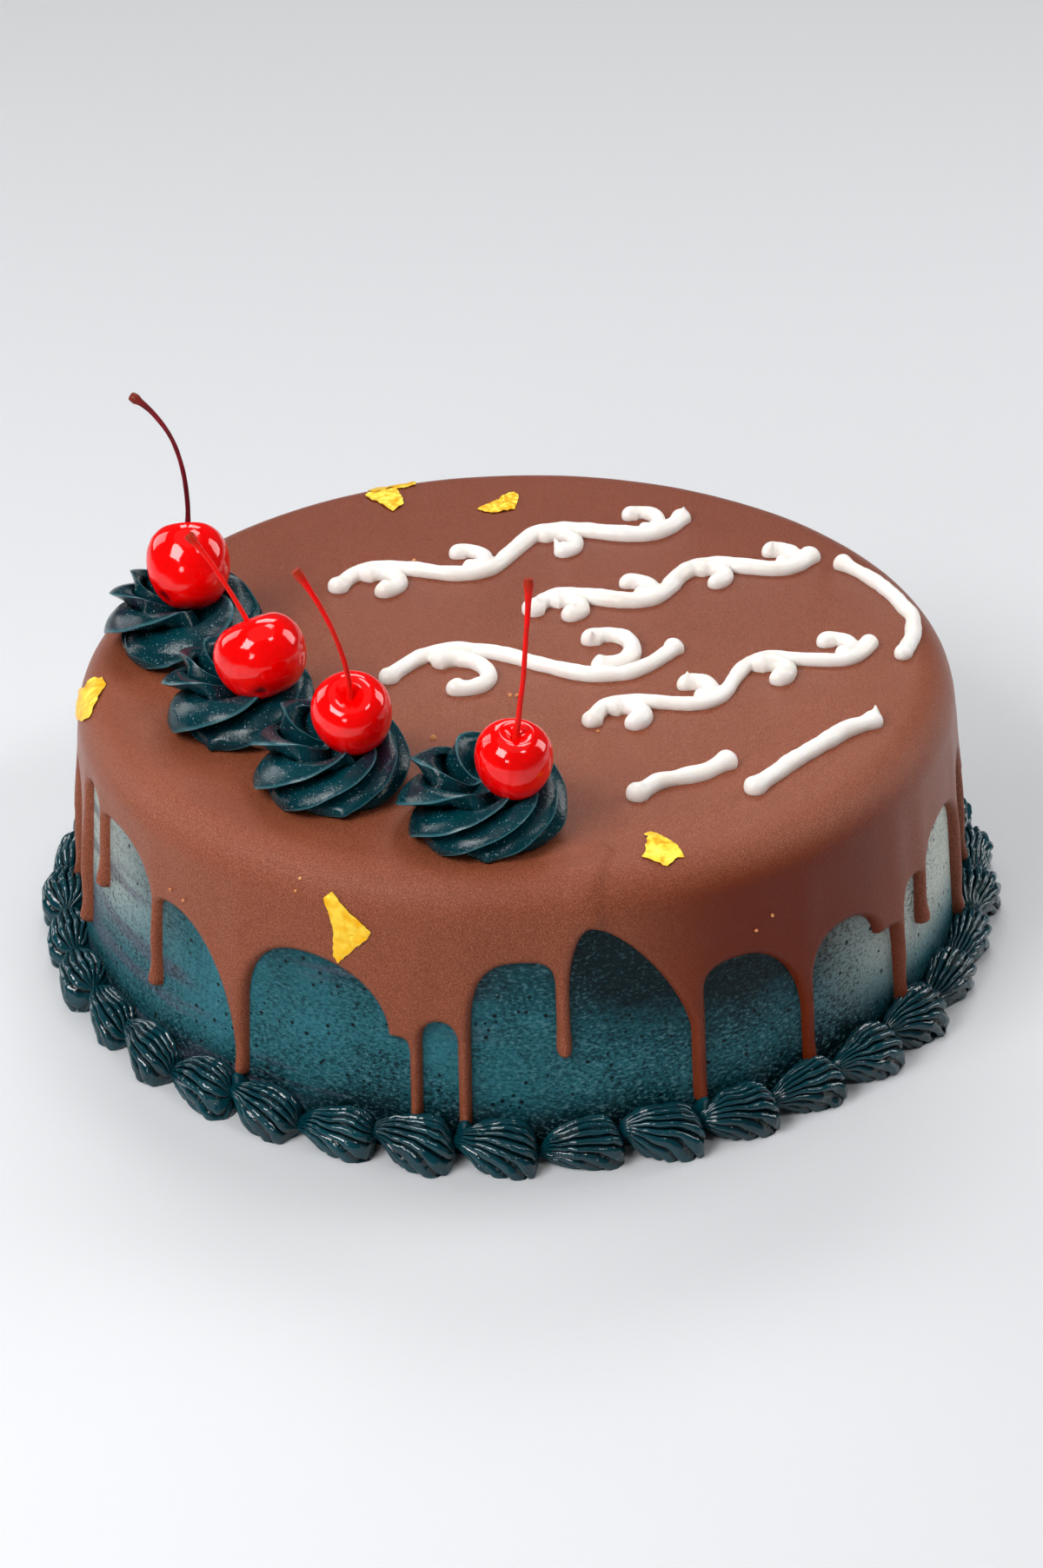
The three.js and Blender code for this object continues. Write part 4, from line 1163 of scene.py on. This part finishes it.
cherry_line, _ = dense_profile(cherry_profile, CHERRY_ROWS, CHERRY_SMOOTHING)
for number, cherry in enumerate(cherries):
    axis = Vector(cherry["axis"]).normalized()
    turned = np.array(axis.to_track_quat("Z", "Y").to_matrix())
    centre = np.array(cherry["centre"])

    def cherry_points(round_share, along_share):
        """The fruit, a little out of round, with its scar pressed in"""
        row = np.rint(along_share * CHERRY_ROWS).astype(int)
        facing = 2 * math.pi * round_share
        lobes = 1 + 0.018 * np.cos(2 * facing + number) + 0.012 * np.cos(3 * facing + 2 * number)
        reach = cherry["breadth"] * cherry_line[row, 0] * lobes
        tilt = 0.02 * np.cos(facing + 3 * number)
        height = cherry["length"] * (cherry_line[row, 1] + tilt * cherry_line[row, 0])
        points = np.stack([reach * np.cos(facing), reach * np.sin(facing), height], -1) @ turned.T
        outward = points / np.linalg.norm(points, axis=1, keepdims=True)
        apart = np.arccos(np.clip(outward @ np.array(Vector(cherry["scar"]).normalized()), -1, 1))
        ragged = 1 + 0.45 * waves(points, 2.2, number + 7)
        scar = np.exp(-((apart * cherry["breadth"] / SCAR_SIZE / ragged) ** 2))
        return np.column_stack([points - SCAR_DEPTH * scar[:, None] * outward + centre, scar])

    fruit = bend_grid(f"cherry_fruit_{number + 1}", CHERRY_COLUMNS, CHERRY_ROWS, cherry_points)
    finish_piece(fruit, cherry_skin, "cherry", f"cherry_{number + 1}")

    dimple = centre + np.array(axis) * cherry["length"] * DIMPLE_PLACE
    start = dimple - np.array(axis) * STEM_SINK
    share = np.linspace(0, 1, STEM_POINTS)[:, None]
    curve = bend_line(share, start, start + cherry["knee"], dimple + cherry["tip"])
    curve += STEM_WOBBLE * wander(curve, 8, number + 90, number + 91, number + 92) * ease(share * 4)
    share = share[:, 0]
    torn = 0.15 * waves(curve, 1.2, number) * ease(share * 10 - 9)
    uneven = 1 + 0.08 * waves(curve, 3, number + 95) + torn
    thick = STEM_RADIUS * np.interp(share, stem_share, stem_thick) * uneven
    stem = add_rope(f"cherry_stalk_{number + 1}", [(curve, thick)], 4)
    from_tip = np.linalg.norm(points_of(stem) / MM - curve[-1], axis=1)
    keep_depth(stem, 1 - ease(from_tip / KNOB_BROWN))
    shade_smooth(50)
    finish_piece(stem, stem_skins[min(number, 1)], "cherry_stem", f"cherry_stem_{number + 1}")

# ---- Shell border ---------------------------------------------------------------------------------
# Thirty-eight shells of the dark buttercream, piped round the foot through a fine star nozzle. Each
# has a fat head on the right that spreads onto the table, and is drawn out to a thin tail on the left,
# from which sharp ridges fan out like a scallop's, to the end of the head and down to the table.
SHELL_COUNT = 38
SHELL_FIRST = 6.5
SHELL_RIDGES = 18
SHELL_COLUMNS = 128
SHELL_ROWS = 34
SHELL_UNEVEN = 0.08
SHELL_TILT = (-9, 15)
TILT_HEIGHT = 6
SHELL_SWELL = 0.8
SHELL_RIPPLE = 0.3
BEHIND_WALL = -0.8
RIDGE_DEPTH = 0.35
RIDGE_ROUND = 0.45
RIDGE_MEAN = 0.82
RIDGE_DROOP = 1.1
DROOP_SPAN = 2.2
GLOSSY_TEAL = (0.0, 0.025, 0.035, 1)
GLOSSY_TEAL_LIGHT = (0.001, 0.046, 0.063, 1)
# Ridges cover this share of the way round, between these facings; the rest is the side at the wall.
RIDGED_SHARE = 0.9
FACINGS = (-80, 140, 280)
# The middle line bends down from the tail to the table: place along, distance out and height
shell_bend = np.array([(-13.2, 3.5, 6.0), (-2.0, 5.3, 9.4), (10.6, 4.4, 3.6)])
# Reach of the ridged outside above and below the middle line, and outwards, along it
shell_share = [0, 0.12, 0.3, 0.5, 0.7, 0.84, 0.94, 1]
shell_upper = [1.2, 2.5, 4.1, 5.4, 6.4, 6.5, 4.9, 0]
shell_lower = [1.2, 3.6, 7.4, 10.6, 12.5, 12, 8.8, 0]
shell_depth = [1.2, 2.6, 4.4, 5.8, 6.6, 6.6, 5.0, 0]


def shell_points(round_share, along_share):
    """One shell: X along the wall to its head, Y out from the wall and Z up"""
    row = np.rint(along_share * SHELL_ROWS).astype(int)
    along = np.interp(row / SHELL_ROWS, [0, 0.7, 1], [0, 0.82, 1])
    facing = np.radians(np.interp(round_share, [0, RIDGED_SHARE, 1], FACINGS))
    middle = bend_line(along[:, None], *shell_bend)
    # The lower ridges turn down towards the head, and the side at the wall brings that back.
    low = ease((1.1 - facing) / DROOP_SPAN) + ease((facing - 2.5) / DROOP_SPAN)
    droop = RIDGE_DROOP * along ** 2 * low
    ridge = np.abs(np.cos((facing + droop) * SHELL_RIDGES / 2)) ** RIDGE_ROUND
    ridged = 1 + RIDGE_DEPTH * (ridge - RIDGE_MEAN) * ease(along / 0.25)
    upper = np.interp(along, shell_share, shell_upper)
    lower = np.interp(along, shell_share, shell_lower)
    up = np.where(np.sin(facing) > 0, upper, lower)
    out = np.interp(along, shell_share, shell_depth)
    closing = np.where((row == 0) | (row == SHELL_ROWS), 0, 1)
    y = middle[:, 1] + out * np.cos(facing) * ridged * closing
    z = middle[:, 2] + up * np.sin(facing) * ridged * closing
    return np.stack([middle[:, 0], y, z, 1 - ridge], -1)


model_shell = bend_grid("shell_model", SHELL_COLUMNS, SHELL_ROWS, shell_points, 60)
bpy.ops.object.select_all(action="DESELECT")
shell_shape = points_of(model_shell) / MM
# Setting the shell against the wall mirrors it, so its faces are turned over first.
model_shell.data.flip_normals()

glossy_frosting, tree, shader = new_material(
    "glossy_dark_frosting", Roughness=0.08, Specular_IOR_Level=0.55,
)
surface = add_group(tree, frosting, Peel_Scale=620, Pit_Scale=420, Patch_Scale=60)
dark = ramp(surface["Patches"], (0.3, GLOSSY_TEAL), (0.6, GLOSSY_TEAL_LIGHT))
shaded = blend_colour(fade(kept_depth(tree), 0.12, 0.6, 0, 0.95), dark, FOLD_SHADOW)
set_surface(shader, shaded, surface["Height"], 0.6, 0.25)

for number in range(SHELL_COUNT):
    shell = model_shell.copy()
    shell.data = model_shell.data.copy()
    shell.name = f"piped_shell_{number + 1:02d}"
    bpy.context.collection.objects.link(shell)
    size = 1 + SHELL_UNEVEN * draw(number + 300, -1, 1)
    tilt = math.radians(draw(number + 330, *SHELL_TILT))
    bulge = SHELL_SWELL * wander(shell_shape, 7, *range(3 * number, 3 * number + 3))
    bulge += SHELL_RIPPLE * wander(shell_shape, 2.5, *range(5 * number + 3, 5 * number + 6))
    x, y, z = ((shell_shape + bulge) * (1, size, size)).T
    above = z - TILT_HEIGHT
    tilted = x * math.cos(tilt) - above * math.sin(tilt)
    z = np.maximum(TILT_HEIGHT + x * math.sin(tilt) + above * math.cos(tilt), 0)
    turn = np.radians(SHELL_FIRST + number * 360 / SHELL_COUNT) + tilted / (BASE_RADIUS + 4)
    radius = wall_radius(z) + np.maximum(y, BEHIND_WALL)
    move_points(shell, np.stack([radius * np.sin(turn), -radius * np.cos(turn), z], -1))
    finish_piece(shell, glossy_frosting, "dark_frosting", f"shell_{number + 1:02d}")
bpy.data.objects.remove(model_shell)

# A little of the shells' cream stands up against the end of each long drip.
LONG_TIP = 13
PEAK_FOOT = 10.2
PEAK_HEIGHT = 2.0
PEAK_LIFT = (2.4, 3.3)
peaks = []
for drip in drips:
    if drip["tip"] < LONG_TIP:
        shares = np.linspace(-2, 1, 10)
        rise = np.array([
            on_body(drip["at"], down_at(PEAK_FOOT + PEAK_HEIGHT * share), mix(*PEAK_LIFT, share))
            for share in shares
        ])
        peaks.append((rise, np.interp(shares, [-2, 0, 0.7, 1], [3.2, 1.8, 1.2, 0.7])))
shell_peaks = add_rope("shell_peaks", peaks, 6)
bpy.ops.object.shade_smooth()
finish_piece(shell_peaks, glossy_frosting, "dark_frosting", "shell_01")

# ---- Crumbs ---------------------------------------------------------------------------------------
# A dozen orange crumbs of sponge, one to two millimetres across, that fell on the glaze. Half of them
# are given by the angle round the cake and the height on the wall, and half by the place on the top.
CRUMB_LIGHT = (0.85, 0.42, 0.16, 1)
CRUMB_DARK = (0.62, 0.2, 0.06, 1)
CRUMB_UNEVEN = 0.5
WALL_CRUMB_LIFT = 0.3
WALL_CRUMB_RADIUS = 0.45
TOP_CRUMB_LIFT = 0.2

crumb_skin, tree, shader = new_material("orange_crumb", Roughness=0.7)
surface = add_group(tree, grain_group, Grain_Scale=3000, Cloud_Scale=1200)
crumb_colour = ramp(surface["Clouds"], (0.4, CRUMB_DARK), (0.6, CRUMB_LIGHT))
tree.links.new(crumb_colour, shader.inputs["Base Color"])
on_wall = [(-47.8, 58.4), (-45.3, 57.5), (-27.6, 75.9), (-27.8, 73.0), (31.4, 60.3), (29.0, 57.5)]
crumbs = [
    (on_body(at, down_at(z), GLAZE_LIFT + WALL_CRUMB_LIFT), WALL_CRUMB_RADIUS) for at, z in on_wall
]
on_top = [
    (-23.3, -47.8, 0.9), (-1.6, -24.6, 0.6), (0.4, -24.9, 0.6),
    (22.7, -46.3, 0.5), (54, -70, 0.5), (-30, 60, 0.6),
]
crumbs += [(on_glaze(x, y, TOP_CRUMB_LIFT), radius) for x, y, radius in on_top]
for number, (centre, radius) in enumerate(crumbs):
    bpy.ops.mesh.primitive_ico_sphere_add(subdivisions=3, radius=radius * MM)
    crumb = bpy.context.object
    crumb.name = f"crumb_{number + 1}"
    shape = points_of(crumb) / MM
    shape *= (1 + CRUMB_UNEVEN * waves(shape, radius, number + 120))[:, None]
    move_points(crumb, shape + centre)
    shade_smooth(40)
    finish_piece(crumb, crumb_skin, "chocolate_glaze", "chocolate_glaze")
